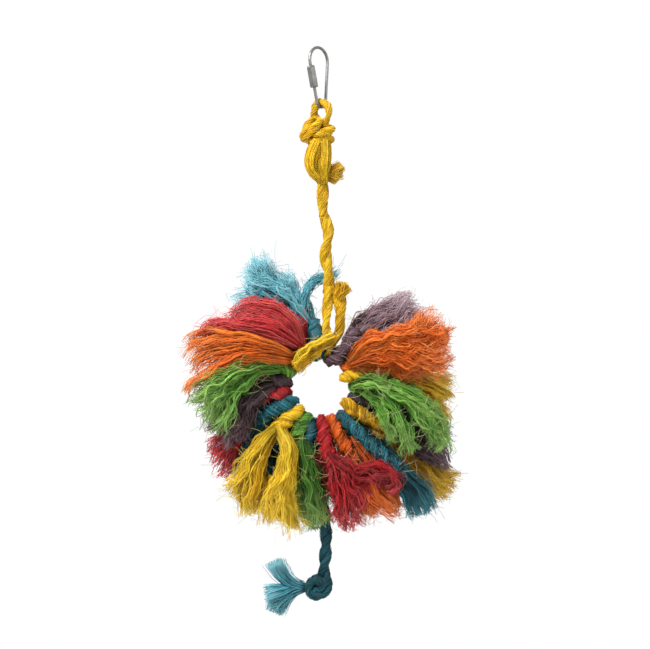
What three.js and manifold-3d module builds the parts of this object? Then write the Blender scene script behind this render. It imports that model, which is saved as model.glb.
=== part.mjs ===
// A hanging preening toy for a pet bird: a wire quick link, a twisted hanger rope, a wire ring that
// carries eighteen dyed rope tassels with frayed ends, and a knotted rope hanging below the ring.
// Millimetres, +Z up, with the front facing -Y. The origin is the point that the toy hangs by, the
// inside of the link's top bow.
import * as THREE from "three";
import { mergeVertices } from "three/addons/utils/BufferGeometryUtils.js";
import Module from "manifold-3d";

const wasm = await Module();
wasm.setup();

// Clearance between pieces that touch
const CLEARANCE = 0.3;

// Quick link
const LINK_LENGTH = 45;
const LINK_WIDTH = 21;
const LINK_FOOT_WIDTH = 11.6;
const LINK_WIRE = 2.2;
const LINK_YAW = 48; // degrees that the link is turned away from the front
const LINK_LEAN = 3.5; // degrees that the foot leans to the right
const GATE_TOP = 4.5; // length of the gate leg above the gate's gap
const GATE_GAP = 5.5;
const NUT_LENGTH = 15.7;
const NUT_WIDTH = 6.6; // across the corners
const NUT_BORE = 3.4; // across the corners
const NUT_CHAMFER = 1;
const NUT_START = 2.4; // leg left bare above the nut

// Hanger rope
const ROPE = 8; // diameter of the hanger rope
const EYE_ROPE = 5.2; // the rope is drawn thin where it passes through the link
const EYE_WIDTH = 19;
const EYE_DROP = 9; // from the link's foot down to the knot
const KNOT_WIDTH = 23;
const KNOT_HEIGHT = 18;
const KNOT_DEPTH = 17;
const KNOT_ROPE = 7;
const KNOT_OFFSET = -2.2; // the knot bulges to the left of the link's foot
const NECK_ROUTE = [[3.4, 0, 0], [4.6, 0, -5], [4.9, 0, -11], [4.2, 0, -17], [3.4, 0, -22], [3.2, 0, -25]];
const TAIL_ROPE = 8.2;
const TAIL_ROUTE = [
  [-3.6, 0, 0], [-5.4, 0.5, -6], [-5.2, 1.5, -13], [-2.2, 6, -19], [3, 10, -21.6],
  [9.5, 9.6, -20], [15, 7, -18], [20.5, 4.5, -16],
];
const RUN_ROUTE = [
  [0, 0, 0], [-0.2, 0.2, -5], [-0.4, 0.5, -10], [-0.1, 0.7, -15], [0.8, 0.6, -20], [2.3, 0.2, -25],
  [3.5, -0.3, -30], [3.7, -0.7, -35], [2.9, -0.8, -40], [2.1, -0.5, -45], [2, 0, -50], [2.7, 0.5, -55],
  [3.6, 0.5, -59], [4.2, 0.2, -63], [4.3, 0, -66], [4.3, 0, -69],
];

// Lower hitch of the hanger rope
const HITCH_KNOT_HEIGHT = 14;
const HITCH_KNOT_WIDTH = 14;
const HITCH_KNOT_DEPTH = 12;
const HITCH_HEIGHT = 39.5; // from the end of the run down to the top of the loop on the ring
const LEG_ROPE = 7;
const LEG_SPREAD = 9.4; // between the two legs' middles
const LEG_OFFSET = 2.2; // the legs stand to the right of the run's end
const HITCH_ROPE = 6;
const HITCH_OFFSET = 1.5;
const HITCH_TAIL_REACH = 6;
const HITCH_TAIL_SIZE = 5.4;

// Core ring and the rope loops on it
const CORE_WIRE = 3;
const HOLE = 39.2; // clear opening in the middle of the ring
const LOOP_ROPE = 6.9; // rope pressed tight round the core ring
const LOOPS = 20;
const HANGER_ANGLE = 77; // degrees anticlockwise from +X, seen from the front
const STUB_LENGTH = 5; // twisted rope between a loop and its frayed brush
const STUB_ROPE = 8.6;

// Frayed brushes
const BRUSH_REACH = 100; // from the ring's centre to the end of a middling brush
const BRUSH_DEPTH = 34; // from the ring's middle plane to the front or back
const BRUSH_ROOT = 8; // diameter where the fibres leave the rope
const BRUSH_GAP = 1.6; // between neighbours in the same layer
const BRUSH_TAPER = 0.14; // how fast that gap widens towards the front or back, on each side
const HITCH_TAPER = 0.25; // how fast the slot for the hitch widens, on each side
const LAYER_GAP = 1.2; // between the front and the back layer
const NECK_LENGTH = 6.2; // before the fibres spread over their neighbours
const SPREAD = 25; // the most that a brush spreads to each side, in degrees
const LOCK_SIDES = 5;
const LOCK_SHARE = 0.19; // a lock's radius, as a share of its brush's width
const LOCK_BEND = 0.41; // where a lock turns towards its tip, as a share of its way out from the neck
const LOCK_THICKNESS = 22;
const SIDE_REACHES = [0.95, 0.93]; // length of the two outer locks, as shares of the middle one's
const LOCKS = [
  { across: 0.2, depth: 0.46 },
  { across: 0.5, depth: 0.52 },
  { across: 0.8, depth: 0.43 },
];
const DROP_CLEARANCE = 1.2; // between the brushes and the drop rope that hangs among them

// Frayed end of the hanger rope, lying over the ring's upper left
const END_LENGTH = 20;
const END_WIDTH = 13;
const END_DEPTH = 5;
const END_SINK = 1.5; // how far the fibres are pressed in between the loops
const END_PLACES = [17, 18, 19]; // the loops that it lies on

// Drop rope
const DROP_ROPE = 8.4;
const DROP_HIDDEN_ROUTE = [
  [0, 0, 0], [-1.4, 0, -6], [-2.8, 0, -12.2], [-3.6, 0, -18], [-1.5, 0, -27], [4.4, 0, -39],
  [9.5, 0, -52], [11.8, 0, -63], [11.8, 0, -69.8],
];
const DROP_ROUTE = [
  [0, 0, 0], [0, 0, -2], [-0.1, 0, -4], [-0.2, 0, -6], [-0.4, 0, -8], [-0.6, 0, -10], [-0.8, 0, -12],
  [-1, 0, -14], [-1.2, 0, -16], [-1.3, 0, -17.5], [-1.4, 0, -19], [-1.5, 0, -20.5], [-1.5, 0, -22],
  [-1.5, 0, -23], [-1.5, 0, -24],
];
const DROP_KNOT_WIDTH = 20;
const DROP_KNOT_HEIGHT = 20.5;
const DROP_KNOT_DEPTH = 17;
const DROP_KNOT_OFFSET = -4.4;
const TUFT_REACH = 28;
const TUFT_ROOT = 8;
const TUFT_TIPS = [[17, 5.5], [1, 5], [-14, 7]]; // height of each lock's end, and its radius there

// Dyes
const DYES = {
  yellow: 0xe3b818,
  orange: 0xf0731e,
  red: 0xc82d2d,
  teal: 0x288c9b,
  green: 0x5aa532,
  purple: 0x503c46,
};
const STEEL = 0x9a9c9c;

// The tassels, clockwise from the hanger. The tip is the direction of a brush's end from the ring's
// centre, in degrees anticlockwise from +X, and the reach is how far that end is, as a share of
// BRUSH_REACH. A brush that isn't a full fan has its own spread, thickness or outer locks, of which
// the clockwise one comes first.
const TASSELS = [
  { place: 1, dye: "purple", tip: 43, reach: 0.95, front: false, spread: 13, sides: [0.96, 0.84] },
  { place: 2, dye: "orange", tip: 20, reach: 1.01, front: true, spread: 17, sides: [0.97, 0.98] },
  { place: 3, dye: "yellow", tip: -4, reach: 1, front: false, spread: 13, sides: [0.97, 1] },
  { place: 4, dye: "green", tip: -27, reach: 0.95, front: true, spread: 12, sides: [0.92, 1] },
  { place: 5, dye: "purple", tip: -27, reach: 1.04, front: false, spread: 10, sides: [0.97, 0.98] },
  { place: 6, dye: "yellow", tip: -39, reach: 1.22, front: false, sides: [0.84, 0.98] },
  { place: 7, dye: "teal", tip: -49, reach: 1.2, front: true, spread: 10, thick: 16, sides: [0.88, 0.92] },
  { place: 8, dye: "orange", tip: -62, reach: 1.05, front: false, spread: 13, sides: [0.93, 0.94] },
  { place: 9, dye: "red", tip: -72, reach: 1.04, front: true, spread: 15, sides: [0.96, 0.94] },
  { place: 11, dye: "green", tip: -94, reach: 1.06, front: false, spread: 10, sides: [0.93, 0.92] },
  { place: 12, dye: "yellow", tip: -115, reach: 1.05, front: true, spread: 20, sides: [0.95, 0.99] },
  { place: 13, dye: "teal", tip: -127, reach: 0.94, front: false, spread: 15, sides: [0.96, 0.96] },
  { place: 14, dye: "red", tip: -143, reach: 0.98, front: false },
  { place: 15, dye: "purple", tip: -158, reach: 0.92, front: false, spread: 14, sides: [0.93, 0.9] },
  { place: 16, dye: "green", tip: -167, reach: 0.95, front: true, spread: 15, sides: [0.98, 0.92] },
  { place: 17, dye: "orange", tip: -191, reach: 1, front: true, spread: 12, sides: [1, 0.9] },
  { place: 18, dye: "red", tip: -218, reach: 0.89, front: true, spread: 16, sides: [0.88, 0.98] },
  { place: 19, dye: "teal", tip: -239, reach: 1.07, front: false, spread: 18, sides: [0.83, 0.86] },
];
const DROP_PLACE = 10;

// Values that follow from the sizes above
const LOOP_RADIUS = CORE_WIRE / 2 + CLEARANCE + LOOP_ROPE / 2;
const LOOP_REACH = LOOP_RADIUS + LOOP_ROPE / 2;
const CORE_RADIUS = HOLE / 2 + LOOP_REACH;
const LOOP_PITCH = 360 / LOOPS;
const STUB_END = CORE_RADIUS + LOOP_REACH + STUB_LENGTH;
const BRUSH_START = STUB_END + CLEARANCE + BRUSH_ROOT / 2;
const BRUSH_NECK = BRUSH_START + NECK_LENGTH;
const FARTHEST = 2 * Math.max(...TASSELS.map(reachOf));

const AWAY = new THREE.Vector3(0, 1, 0);

function radians(degrees) {
  return THREE.MathUtils.degToRad(degrees);
}

// A point in the ring's plane, from the ring's centre
function onRing(radius, degrees, depth = 0) {
  const angle = radians(degrees);
  return new THREE.Vector3(radius * Math.cos(angle), depth, radius * Math.sin(angle));
}

// How far a tassel's middle lock reaches from the ring's centre
function reachOf(tassel) {
  return tassel.reach * BRUSH_REACH;
}

function placeAngle(place) {
  return HANGER_ANGLE - place * LOOP_PITCH;
}

function toPoints(route) {
  return route.map(([x, y, z]) => new THREE.Vector3(x, y, z));
}

function dyed(dye) {
  return new THREE.MeshStandardMaterial({ color: DYES[dye], roughness: 0.75, metalness: 0 });
}

function steel() {
  return new THREE.MeshStandardMaterial({ color: STEEL, roughness: 0.3, metalness: 1 });
}

function piece(name, geometry, material) {
  const mesh = new THREE.Mesh(geometry, material);
  mesh.name = name;
  return mesh;
}

// A closed three.js geometry as a solid that can be joined and cut
function toSolid(geometry) {
  const bare = geometry.clone();
  bare.deleteAttribute("normal");
  bare.deleteAttribute("uv");
  const merged = mergeVertices(bare);
  const corners = merged.index.array;
  const triangles = [];
  for (let i = 0; i < corners.length; i += 3) {
    const [a, b, c] = corners.slice(i, i + 3);
    if (a !== b && b !== c && c !== a) {
      triangles.push(a, b, c);
    }
  }
  const vertProperties = new Float32Array(merged.attributes.position.array);
  const triVerts = new Uint32Array(triangles);
  return new wasm.Manifold(new wasm.Mesh({ numProp: 3, vertProperties, triVerts }));
}

function toGeometry(solid) {
  const mesh = solid.getMesh();
  const geometry = new THREE.BufferGeometry();
  geometry.setAttribute("position", new THREE.BufferAttribute(mesh.vertProperties, 3));
  geometry.setIndex(new THREE.BufferAttribute(mesh.triVerts, 1));
  geometry.computeVertexNormals();
  return geometry;
}

function join(geometries) {
  const solids = geometries.map(toSolid);
  return solids.reduce((whole, next) => whole.add(next));
}

// The largest body of a cut solid, without the pockets that its turns close in
function outside(solid) {
  const bodies = solid.decompose();
  return bodies.reduce((most, next) => (next.volume() > most.volume() ? next : most));
}

// A solid cut back so that it stays clear of another one
function clearOf(solid, other) {
  const gap = CLEARANCE;
  const shifts = [[gap, 0, 0], [-gap, 0, 0], [0, gap, 0], [0, -gap, 0], [0, 0, gap], [0, 0, -gap]];
  return outside(shifts.reduce((rest, shift) => rest.subtract(other.translate(shift)), solid));
}

// A round rope swept along a curve
function sweep(curve, diameter, steps, sides) {
  const section = new THREE.Shape();
  section.absarc(0, 0, diameter / 2, 0, 2 * Math.PI);
  const curveSegments = sides / 2;
  return new THREE.ExtrudeGeometry(section, { steps, extrudePath: curve, curveSegments });
}

function ball(diameter, centre, sides) {
  const sphere = new THREE.SphereGeometry(diameter / 2, sides, sides / 2);
  return sphere.translate(centre.x, centre.y, centre.z);
}

// A lock of fibre: a lathe-turned spindle bent along a curve. The profile is a list of radius and
// distance along the curve from 0 to 1, and flatten presses the lock from front to back.
function lock(curve, profile, flatten) {
  const outline = profile.map(([radius, along]) => new THREE.Vector2(radius, along));
  const spindle = new THREE.LatheGeometry(outline, LOCK_SIDES);
  const position = spindle.attributes.position;
  for (let i = 0; i < position.count; i += 1) {
    const along = THREE.MathUtils.clamp(position.getY(i), 0, 1);
    const forward = curve.getTangentAt(along);
    const side = new THREE.Vector3().crossVectors(AWAY, forward).normalize();
    const thick = new THREE.Vector3().crossVectors(side, forward);
    const point = curve.getPointAt(along);
    point.addScaledVector(side, position.getX(i));
    point.addScaledVector(thick, position.getZ(i) * flatten);
    position.setXYZ(i, point.x, point.y, point.z);
  }
  return spindle;
}

// A straight-sided prism: an outline in the ring's plane, from one depth to another
function prism(outline, from, to) {
  const shape = new THREE.Shape(outline.map((point) => new THREE.Vector2(point.x, point.z)));
  const slab = new THREE.ExtrudeGeometry(shape, { depth: to - from, bevelEnabled: false });
  return slab.rotateX(Math.PI / 2).translate(0, to, 0);
}

// The middle line of the link's wire: round the wide bow, down the plain leg, round the foot and up
// the gate leg to the gate. It starts at the end of the short stretch above the gate.
class LinkLine extends THREE.Curve {
  constructor() {
    super();
    this.bow = (LINK_WIDTH - LINK_WIRE) / 2;
    this.foot = (LINK_FOOT_WIDTH - LINK_WIRE) / 2;
    this.bowHeight = LINK_WIRE / 2 - this.bow;
    this.footHeight = LINK_WIRE * 1.5 - LINK_LENGTH + this.foot;
    this.slope = Math.asin((this.bow - this.foot) / (this.bowHeight - this.footHeight));
    this.leg = (this.bowHeight - this.footHeight) * Math.cos(this.slope);
    this.lengths = [
      GATE_TOP,
      this.bow * (Math.PI + 2 * this.slope),
      this.leg,
      this.foot * (Math.PI - 2 * this.slope),
      this.leg - GATE_TOP - GATE_GAP,
    ];
    this.total = this.lengths.reduce((sum, length) => sum + length);
  }

  // A point on the gate leg, at a distance below the wide bow
  gate(distance) {
    const top = this.around(this.bow, this.bowHeight, Math.PI + this.slope);
    return top.add(this.gateDirection().multiplyScalar(distance));
  }

  gateDirection() {
    return new THREE.Vector3(Math.sin(this.slope), 0, -Math.cos(this.slope));
  }

  around(radius, height, angle) {
    return new THREE.Vector3(radius * Math.cos(angle), 0, height + radius * Math.sin(angle));
  }

  getPoint(t) {
    let distance = t * this.total;
    const [top, bow, leg, foot] = this.lengths;
    if (distance <= top) {
      return this.gate(top - distance);
    }
    distance -= top;
    if (distance <= bow) {
      return this.around(this.bow, this.bowHeight, Math.PI + this.slope - distance / this.bow);
    }
    distance -= bow;
    if (distance <= leg) {
      const start = this.around(this.bow, this.bowHeight, -this.slope);
      const down = new THREE.Vector3(-Math.sin(this.slope), 0, -Math.cos(this.slope));
      return start.addScaledVector(down, distance);
    }
    distance -= leg;
    if (distance <= foot) {
      return this.around(this.foot, this.footHeight, -this.slope - distance / this.foot);
    }
    return this.gate(this.leg - (distance - foot));
  }
}

// The rope's line through an overhand knot, which crosses itself three times
class KnotLine extends THREE.Curve {
  constructor(width, depth, height, from, to) {
    super();
    Object.assign(this, { width, depth, height, from, to });
  }

  getPoint(t) {
    const a = 2 * Math.PI * THREE.MathUtils.lerp(this.from, this.to, t);
    const widest = 2.73;
    const tallest = 2.53;
    const middle = -0.47;
    const x = (Math.sin(a) + 2 * Math.sin(2 * a)) / widest;
    const y = -Math.sin(3 * a);
    const z = (Math.cos(a) - 2 * Math.cos(2 * a) - middle) / tallest;
    return new THREE.Vector3((x * this.width) / 2, (y * this.depth) / 2, (z * this.height) / 2);
  }
}

// A knot's lump, centred on the origin and trimmed level at its top and bottom
function knot(width, depth, height, rope) {
  const arcs = 4;
  const stepsEach = 6;
  const overlap = 0.01;
  const turns = [];
  for (let i = 0; i < arcs; i += 1) {
    const from = i / arcs - overlap;
    const to = (i + 1) / arcs + overlap;
    const line = new KnotLine(width - rope, depth - rope, height, from, to);
    turns.push(sweep(line, rope, stepsEach, 6));
  }
  const heart = new THREE.SphereGeometry(1, 10, 6);
  heart.scale(width / 2 - rope / 2, depth / 2 - rope / 3, height / 2);
  const trim = toSolid(new THREE.BoxGeometry(width * 2, depth * 2, height));
  return outside(join([...turns, heart]).intersect(trim));
}

// The link, with its nut on the gate leg, leaning and turned as it hangs
function makeLink() {
  const line = new LinkLine();
  const wire = piece("link_wire", sweep(line, LINK_WIRE, 44, 8), steel());
  const half = NUT_LENGTH / 2;
  const rim = NUT_WIDTH / 2 - NUT_CHAMFER * 0.6;
  const profile = [
    [NUT_BORE / 2, -half], [rim, -half], [NUT_WIDTH / 2, -half + NUT_CHAMFER],
    [NUT_WIDTH / 2, half - NUT_CHAMFER], [rim, half], [NUT_BORE / 2, half], [NUT_BORE / 2, -half],
  ];
  const outline = profile.map(([radius, height]) => new THREE.Vector2(radius, height));
  const nut = piece("link_nut", new THREE.LatheGeometry(outline, 6), steel());
  nut.position.copy(line.gate(NUT_START + half));
  nut.quaternion.setFromUnitVectors(new THREE.Vector3(0, -1, 0), line.gateDirection());
  const turned = new THREE.Group();
  turned.rotation.z = radians(LINK_YAW);
  turned.add(wire, nut);
  const link = new THREE.Group();
  link.rotation.y = -radians(LINK_LEAN);
  link.add(turned);
  return link;
}

// The middle of the wire at the link's foot, where the rope's eye hangs
function linkFoot() {
  const drop = LINK_LENGTH - LINK_WIRE * 1.5;
  const lean = radians(LINK_LEAN);
  return new THREE.Vector3(drop * Math.sin(lean), 0, -drop * Math.cos(lean));
}

// The rope's eye, square to the link, from one side of the knot to the other
function makeEye() {
  const over = LINK_WIRE / 2 + CLEARANCE + EYE_ROPE / 2;
  const wide = (EYE_WIDTH - EYE_ROPE) / 2;
  const half = [[wide * 0.72, -EYE_DROP], [wide, -EYE_DROP * 0.62], [wide * 0.82, over * 0.15]];
  const points = [
    ...half.map(([across, height]) => new THREE.Vector3(0, -across, height)),
    new THREE.Vector3(0, 0, over),
    ...half.toReversed().map(([across, height]) => new THREE.Vector3(0, across, height)),
  ];
  const level = toSolid(new THREE.BoxGeometry(EYE_WIDTH * 2, EYE_WIDTH * 2, EYE_WIDTH * 2));
  const below = -EYE_DROP + EYE_WIDTH;
  const loop = toSolid(sweep(new THREE.CatmullRomCurve3(points), EYE_ROPE, 18, 8));
  const eye = piece("hanger_eye", toGeometry(loop.intersect(level.translate(0, 0, below))), dyed("yellow"));
  eye.rotation.z = radians(LINK_YAW);
  return eye;
}

// A rope that meets its neighbours face to face, with a round start where it can bend
function bendingRope(route, diameter, steps) {
  const points = toPoints(route);
  const tube = sweep(new THREE.CatmullRomCurve3(points), diameter, steps, 8);
  return join([tube, ball(diameter, points[0], 8)]);
}

// The hanger rope from the link's foot down to the end of its run
function makeHanger(end) {
  const hanger = new THREE.Group();
  hanger.position.copy(linkFoot());
  hanger.add(makeEye());
  const knotTop = -EYE_DROP - CLEARANCE;
  const lump = toGeometry(knot(KNOT_WIDTH, KNOT_DEPTH, KNOT_HEIGHT, KNOT_ROPE));
  const tied = piece("hanger_knot", lump, dyed("yellow"));
  tied.position.set(KNOT_OFFSET, 0, knotTop - KNOT_HEIGHT / 2);
  hanger.add(tied);

  const below = new THREE.Group();
  below.position.set(KNOT_OFFSET, 0, knotTop - KNOT_HEIGHT - CLEARANCE);
  const neckLine = new THREE.CatmullRomCurve3(toPoints(NECK_ROUTE));
  const ceiling = toSolid(new THREE.BoxGeometry(LINK_LENGTH, LINK_LENGTH, 2 * LINK_LENGTH))
    .translate(0, 0, -LINK_LENGTH);
  const neck = toSolid(sweep(neckLine, ROPE, 10, 10)).intersect(ceiling);
  below.add(piece("hanger_neck", toGeometry(neck), dyed("yellow")));
  const tailLine = new THREE.CatmullRomCurve3(toPoints(TAIL_ROUTE));
  const r = TAIL_ROPE / 2;
  const profile = [
    [0, 0], [r * 0.95, 0], [r, 0.25], [r, 0.5], [r * 0.9, 0.7], [r * 1.15, 0.9], [r * 0.7, 1], [0, 1],
  ];
  const tail = toSolid(lock(tailLine, profile, 0.95)).intersect(ceiling);
  below.add(piece("hanger_tail", toGeometry(tail), dyed("yellow")));

  const bend = toPoints(NECK_ROUTE).at(-1);
  const run = new THREE.Group();
  run.position.set(bend.x, bend.y, bend.z - CLEARANCE - ROPE / 2);
  run.add(piece("hanger_run", toGeometry(bendingRope(RUN_ROUTE, ROPE, 20)), dyed("yellow")));
  end.position.copy(toPoints(RUN_ROUTE).at(-1));
  run.add(end);
  below.add(run);
  hanger.add(below);
  return hanger;
}

// A loop of rope round the core ring, about the ring's tangent at a place
function loopAt(angle) {
  const loop = new THREE.TorusGeometry(LOOP_RADIUS, LOOP_ROPE / 2, 5, 12);
  loop.rotateY(-radians(angle));
  const centre = onRing(CORE_RADIUS, angle);
  return loop.translate(centre.x, centre.y, centre.z);
}

// The lower hitch: a knot, two legs and the loop on the core ring. Its origin is the run's end.
function makeHitch(ringCentre) {
  const top = knot(HITCH_KNOT_WIDTH, HITCH_KNOT_DEPTH, HITCH_KNOT_HEIGHT, HITCH_ROPE);
  const middle = ringCentre.clone().add(onRing(CORE_RADIUS, HANGER_ANGLE));
  const solids = [top.translate(HITCH_OFFSET, 0, -CLEARANCE - HITCH_KNOT_HEIGHT / 2)];
  for (const side of [-1, 1]) {
    const out = LEG_OFFSET + (side * LEG_SPREAD) / 2;
    const line = new THREE.CatmullRomCurve3([
      new THREE.Vector3(HITCH_OFFSET + side * 2, 0, -HITCH_KNOT_HEIGHT / 2),
      new THREE.Vector3(out, 0, -HITCH_KNOT_HEIGHT * 1.3),
      new THREE.Vector3(out * 0.9, side, -HITCH_HEIGHT * 0.68),
      new THREE.Vector3(side, side * LOOP_RADIUS * 0.8, -HITCH_HEIGHT),
      new THREE.Vector3(middle.x, side * LOOP_RADIUS, middle.z),
    ]);
    solids.push(toSolid(sweep(line, LEG_ROPE, 10, 8)));
  }
  solids.push(toSolid(loopAt(HANGER_ANGLE)).translate(ringCentre.x, ringCentre.y, ringCentre.z));
  const core = toSolid(coreRing(CLEARANCE)).translate(ringCentre.x, ringCentre.y, ringCentre.z);
  const hitch = solids.reduce((whole, next) => whole.add(next)).subtract(core);
  return piece("hanger_hitch", toGeometry(outside(hitch)), dyed("yellow"));
}

// The slot that the brushes leave for the hitch's legs, at any nod of the ring: narrowest in the
// ring's plane, and wider to the front and back
function hitchRoom(ringCentre) {
  const shoulder = -HITCH_HEIGHT * 0.7;
  const outline = (depth) => {
    const half = (LEG_SPREAD + LEG_ROPE) / 2 + BRUSH_GAP + HITCH_TAPER * Math.abs(depth);
    const corners = [
      [LEG_OFFSET - half, FARTHEST], [LEG_OFFSET - half, shoulder], [-LOOP_ROPE / 2, -HITCH_HEIGHT],
      [LOOP_ROPE / 2, -HITCH_HEIGHT], [LEG_OFFSET + half, shoulder], [LEG_OFFSET + half, FARTHEST],
    ];
    return corners.map(([x, z]) => new THREE.Vector3(x, depth, z).sub(ringCentre).toArray());
  };
  const [front, back] = [-BRUSH_DEPTH, BRUSH_DEPTH].map((depth) => (
    wasm.Manifold.hull([...outline(0), ...outline(depth)])
  ));
  return front.add(back);
}

// The short frayed tail that sticks out beside the lower hitch
function makeHitchTail() {
  const start = HITCH_OFFSET + HITCH_KNOT_WIDTH / 2 + CLEARANCE;
  const height = -HITCH_KNOT_HEIGHT * 0.4;
  const line = new THREE.QuadraticBezierCurve3(
    new THREE.Vector3(start, 0, height),
    new THREE.Vector3(start + HITCH_TAIL_REACH / 2, 0, height),
    new THREE.Vector3(start + HITCH_TAIL_REACH, 0, height + HITCH_TAIL_REACH / 4),
  );
  const r = HITCH_TAIL_SIZE / 2;
  const profile = [[0, 0], [r * 0.7, 0], [r * 0.8, 0.4], [r, 0.8], [r * 0.6, 1], [0, 1]];
  return piece("hitch_tail", lock(line, profile, 0.9), dyed("yellow"));
}

function coreRing(extra) {
  const ring = new THREE.TorusGeometry(CORE_RADIUS, CORE_WIRE / 2 + extra, 6, 40);
  return ring.rotateX(Math.PI / 2);
}

// A tassel's loop on the core ring, with the stub of rope that its frayed brush grows from
function makeLoop(name, tassel) {
  const angle = placeAngle(tassel.place);
  const stub = new THREE.LineCurve3(onRing(CORE_RADIUS + LOOP_RADIUS, angle), onRing(STUB_END, angle));
  const loop = join([loopAt(angle), sweep(stub, STUB_ROPE, 1, 6)]);
  return piece(name, toGeometry(loop), dyed(tassel.dye));
}

// The neighbour on one side of a brush, in the same layer
function neighbour(tassel, step) {
  const count = TASSELS.length;
  let i = TASSELS.indexOf(tassel);
  let lap = 0;
  do {
    i += step;
    lap += i < 0 ? 360 : 0;
    lap -= i >= count ? 360 : 0;
    i = (i + count) % count;
  } while (TASSELS[i].front !== tassel.front);
  const next = TASSELS[i];
  return { root: placeAngle(next.place) + lap, tip: next.tip + lap, reach: reachOf(next) };
}

// One side of the room that a brush may fill: a line from the neck out past the tip, halfway to the
// neighbour in the same layer, or at the brush's own spread where the neighbour is far
function roomSide(tassel, step, inset) {
  const next = neighbour(tassel, step);
  const root = placeAngle(tassel.place);
  const away = -step;
  const rootAngle = root + away * Math.min(SPREAD, Math.abs(next.root - root) / 2);
  const spread = tassel.spread ?? SPREAD;
  const tipAngle = tassel.tip + away * Math.min(spread, Math.abs(next.tip - tassel.tip) / 2);
  const start = onRing(BRUSH_NECK / Math.cos(radians(SPREAD)), rootAngle);
  const end = onRing((reachOf(tassel) + next.reach) / 2, tipAngle);
  const line = end.clone().sub(start).normalize();
  const inward = new THREE.Vector3().crossVectors(AWAY, line).multiplyScalar(away * inset);
  return { tipAngle, start: start.add(inward), end: end.add(inward).addScaledVector(line, FARTHEST) };
}

// The room for a brush: its own sector at the neck, then its part of the front or back layer
function brushRoom(tassel) {
  const root = placeAngle(tassel.place);
  const sector = (from, to) => {
    const half = LOOP_PITCH / 2;
    const inset = new THREE.Vector3(Math.sin(radians(root)), 0, -Math.cos(radians(root)));
    inset.multiplyScalar(BRUSH_GAP / 2);
    return [
      onRing(from, root - half).sub(inset), onRing(to, root - half).sub(inset),
      onRing(to, root + half).add(inset), onRing(from, root + half).add(inset),
    ];
  };
  const near = (towardsBack(tassel) * LAYER_GAP) / 2;
  const far = towardsBack(tassel) * BRUSH_DEPTH;
  const neck = prism(sector(CORE_RADIUS, BRUSH_NECK - CLEARANCE), -BRUSH_DEPTH, BRUSH_DEPTH);
  const throatEnd = BRUSH_NECK + NECK_LENGTH * 2;
  const throat = prism(sector(CORE_RADIUS, throatEnd), Math.min(near, far), Math.max(near, far));
  const corners = [near, far].flatMap((depth) => {
    const inset = BRUSH_GAP / 2 + BRUSH_TAPER * Math.abs(depth);
    const sides = [roomSide(tassel, -1, inset), roomSide(tassel, 1, inset)];
    return sides.flatMap(({ start, end }) => [start.setY(depth), end.setY(depth)]);
  });
  const layer = wasm.Manifold.hull(corners.map((corner) => corner.toArray()));
  const left = roomSide(tassel, -1, 0);
  const right = roomSide(tassel, 1, 0);
  return { room: join([neck, throat]).add(layer), from: right.tipAngle, to: left.tipAngle };
}

// The side of the ring's plane that a brush lies on: -1 in front, 1 behind
function towardsBack(tassel) {
  return tassel.front ? -1 : 1;
}

// A frayed brush: three locks that spread from the end of the rope, trimmed where they would run
// into a neighbour
function makeBrush(name, tassel, inTheWay) {
  const root = placeAngle(tassel.place);
  const { room, from, to } = brushRoom(tassel);
  const start = onRing(BRUSH_START, root);
  const reach = reachOf(tassel);
  const r = reach * radians(to - from) * LOCK_SHARE;
  const flatten = (tassel.thick ?? LOCK_THICKNESS) / (2 * r);
  const rootRadius = (BRUSH_ROOT * 0.4) / Math.max(1, flatten);
  const profile = [
    [0, 0], [rootRadius, 0], [r * 0.75, 0.22], [r, 0.5], [r, 0.85], [r * 0.5, 1], [0, 1],
  ];
  const [clockwise, anticlockwise] = tassel.sides ?? SIDE_REACHES;
  const ends = [clockwise, 1, anticlockwise];
  const locks = LOCKS.map(({ across, depth }, i) => {
    const angle = THREE.MathUtils.lerp(from, to, across);
    const y = towardsBack(tassel) * depth * BRUSH_DEPTH;
    const bend = THREE.MathUtils.lerp(BRUSH_NECK, reach * ends[i], LOCK_BEND);
    const line = new THREE.CubicBezierCurve3(
      start,
      onRing(BRUSH_NECK, root, y * 0.25),
      onRing(bend, THREE.MathUtils.lerp(root, angle, 0.75), y * 0.9),
      onRing(reach * ends[i], angle, y),
    );
    return lock(line, profile, flatten);
  });
  const whole = join([...locks, ball(BRUSH_ROOT, start, 8)]);
  const brush = inTheWay.reduce((rest, other) => rest.subtract(other), whole.intersect(room));
  return piece(name, toGeometry(outside(brush)), dyed(tassel.dye));
}

// The hanger rope's own frayed end, in front of the loops at the ring's upper left
function makeHangerEnd() {
  const y = END_SINK - LOOP_REACH - END_DEPTH / 2;
  const start = onRing(CORE_RADIUS, HANGER_ANGLE + LOOP_PITCH * 0.75, y);
  const tip = onRing((HOLE + END_WIDTH) / 2, HANGER_ANGLE + LOOP_PITCH * 3, y);
  const along = tip.clone().sub(start).setLength(END_LENGTH);
  const line = new THREE.LineCurve3(start, start.clone().add(along));
  const r = END_WIDTH / 2;
  const profile = [[0, 0], [r * 0.45, 0], [r * 0.5, 0.25], [r * 0.8, 0.6], [r, 0.9], [r * 0.8, 1], [0, 1]];
  const fan = toSolid(lock(line, profile, END_DEPTH / END_WIDTH));
  const loops = END_PLACES.map((place) => toSolid(loopAt(placeAngle(place))));
  return piece("hanger_end", toGeometry(loops.reduce(clearOf, fan)), dyed("yellow"));
}

// The drop rope: its loop on the core ring and the stretch that the brushes hide
function hiddenDrop(extra) {
  const root = onRing(CORE_RADIUS + LOOP_RADIUS, placeAngle(DROP_PLACE));
  const points = toPoints(DROP_HIDDEN_ROUTE).map((point) => point.add(root));
  const line = new THREE.CatmullRomCurve3(points);
  return { tube: sweep(line, DROP_ROPE + 2 * extra, 12, 8), end: points.at(-1) };
}

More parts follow.
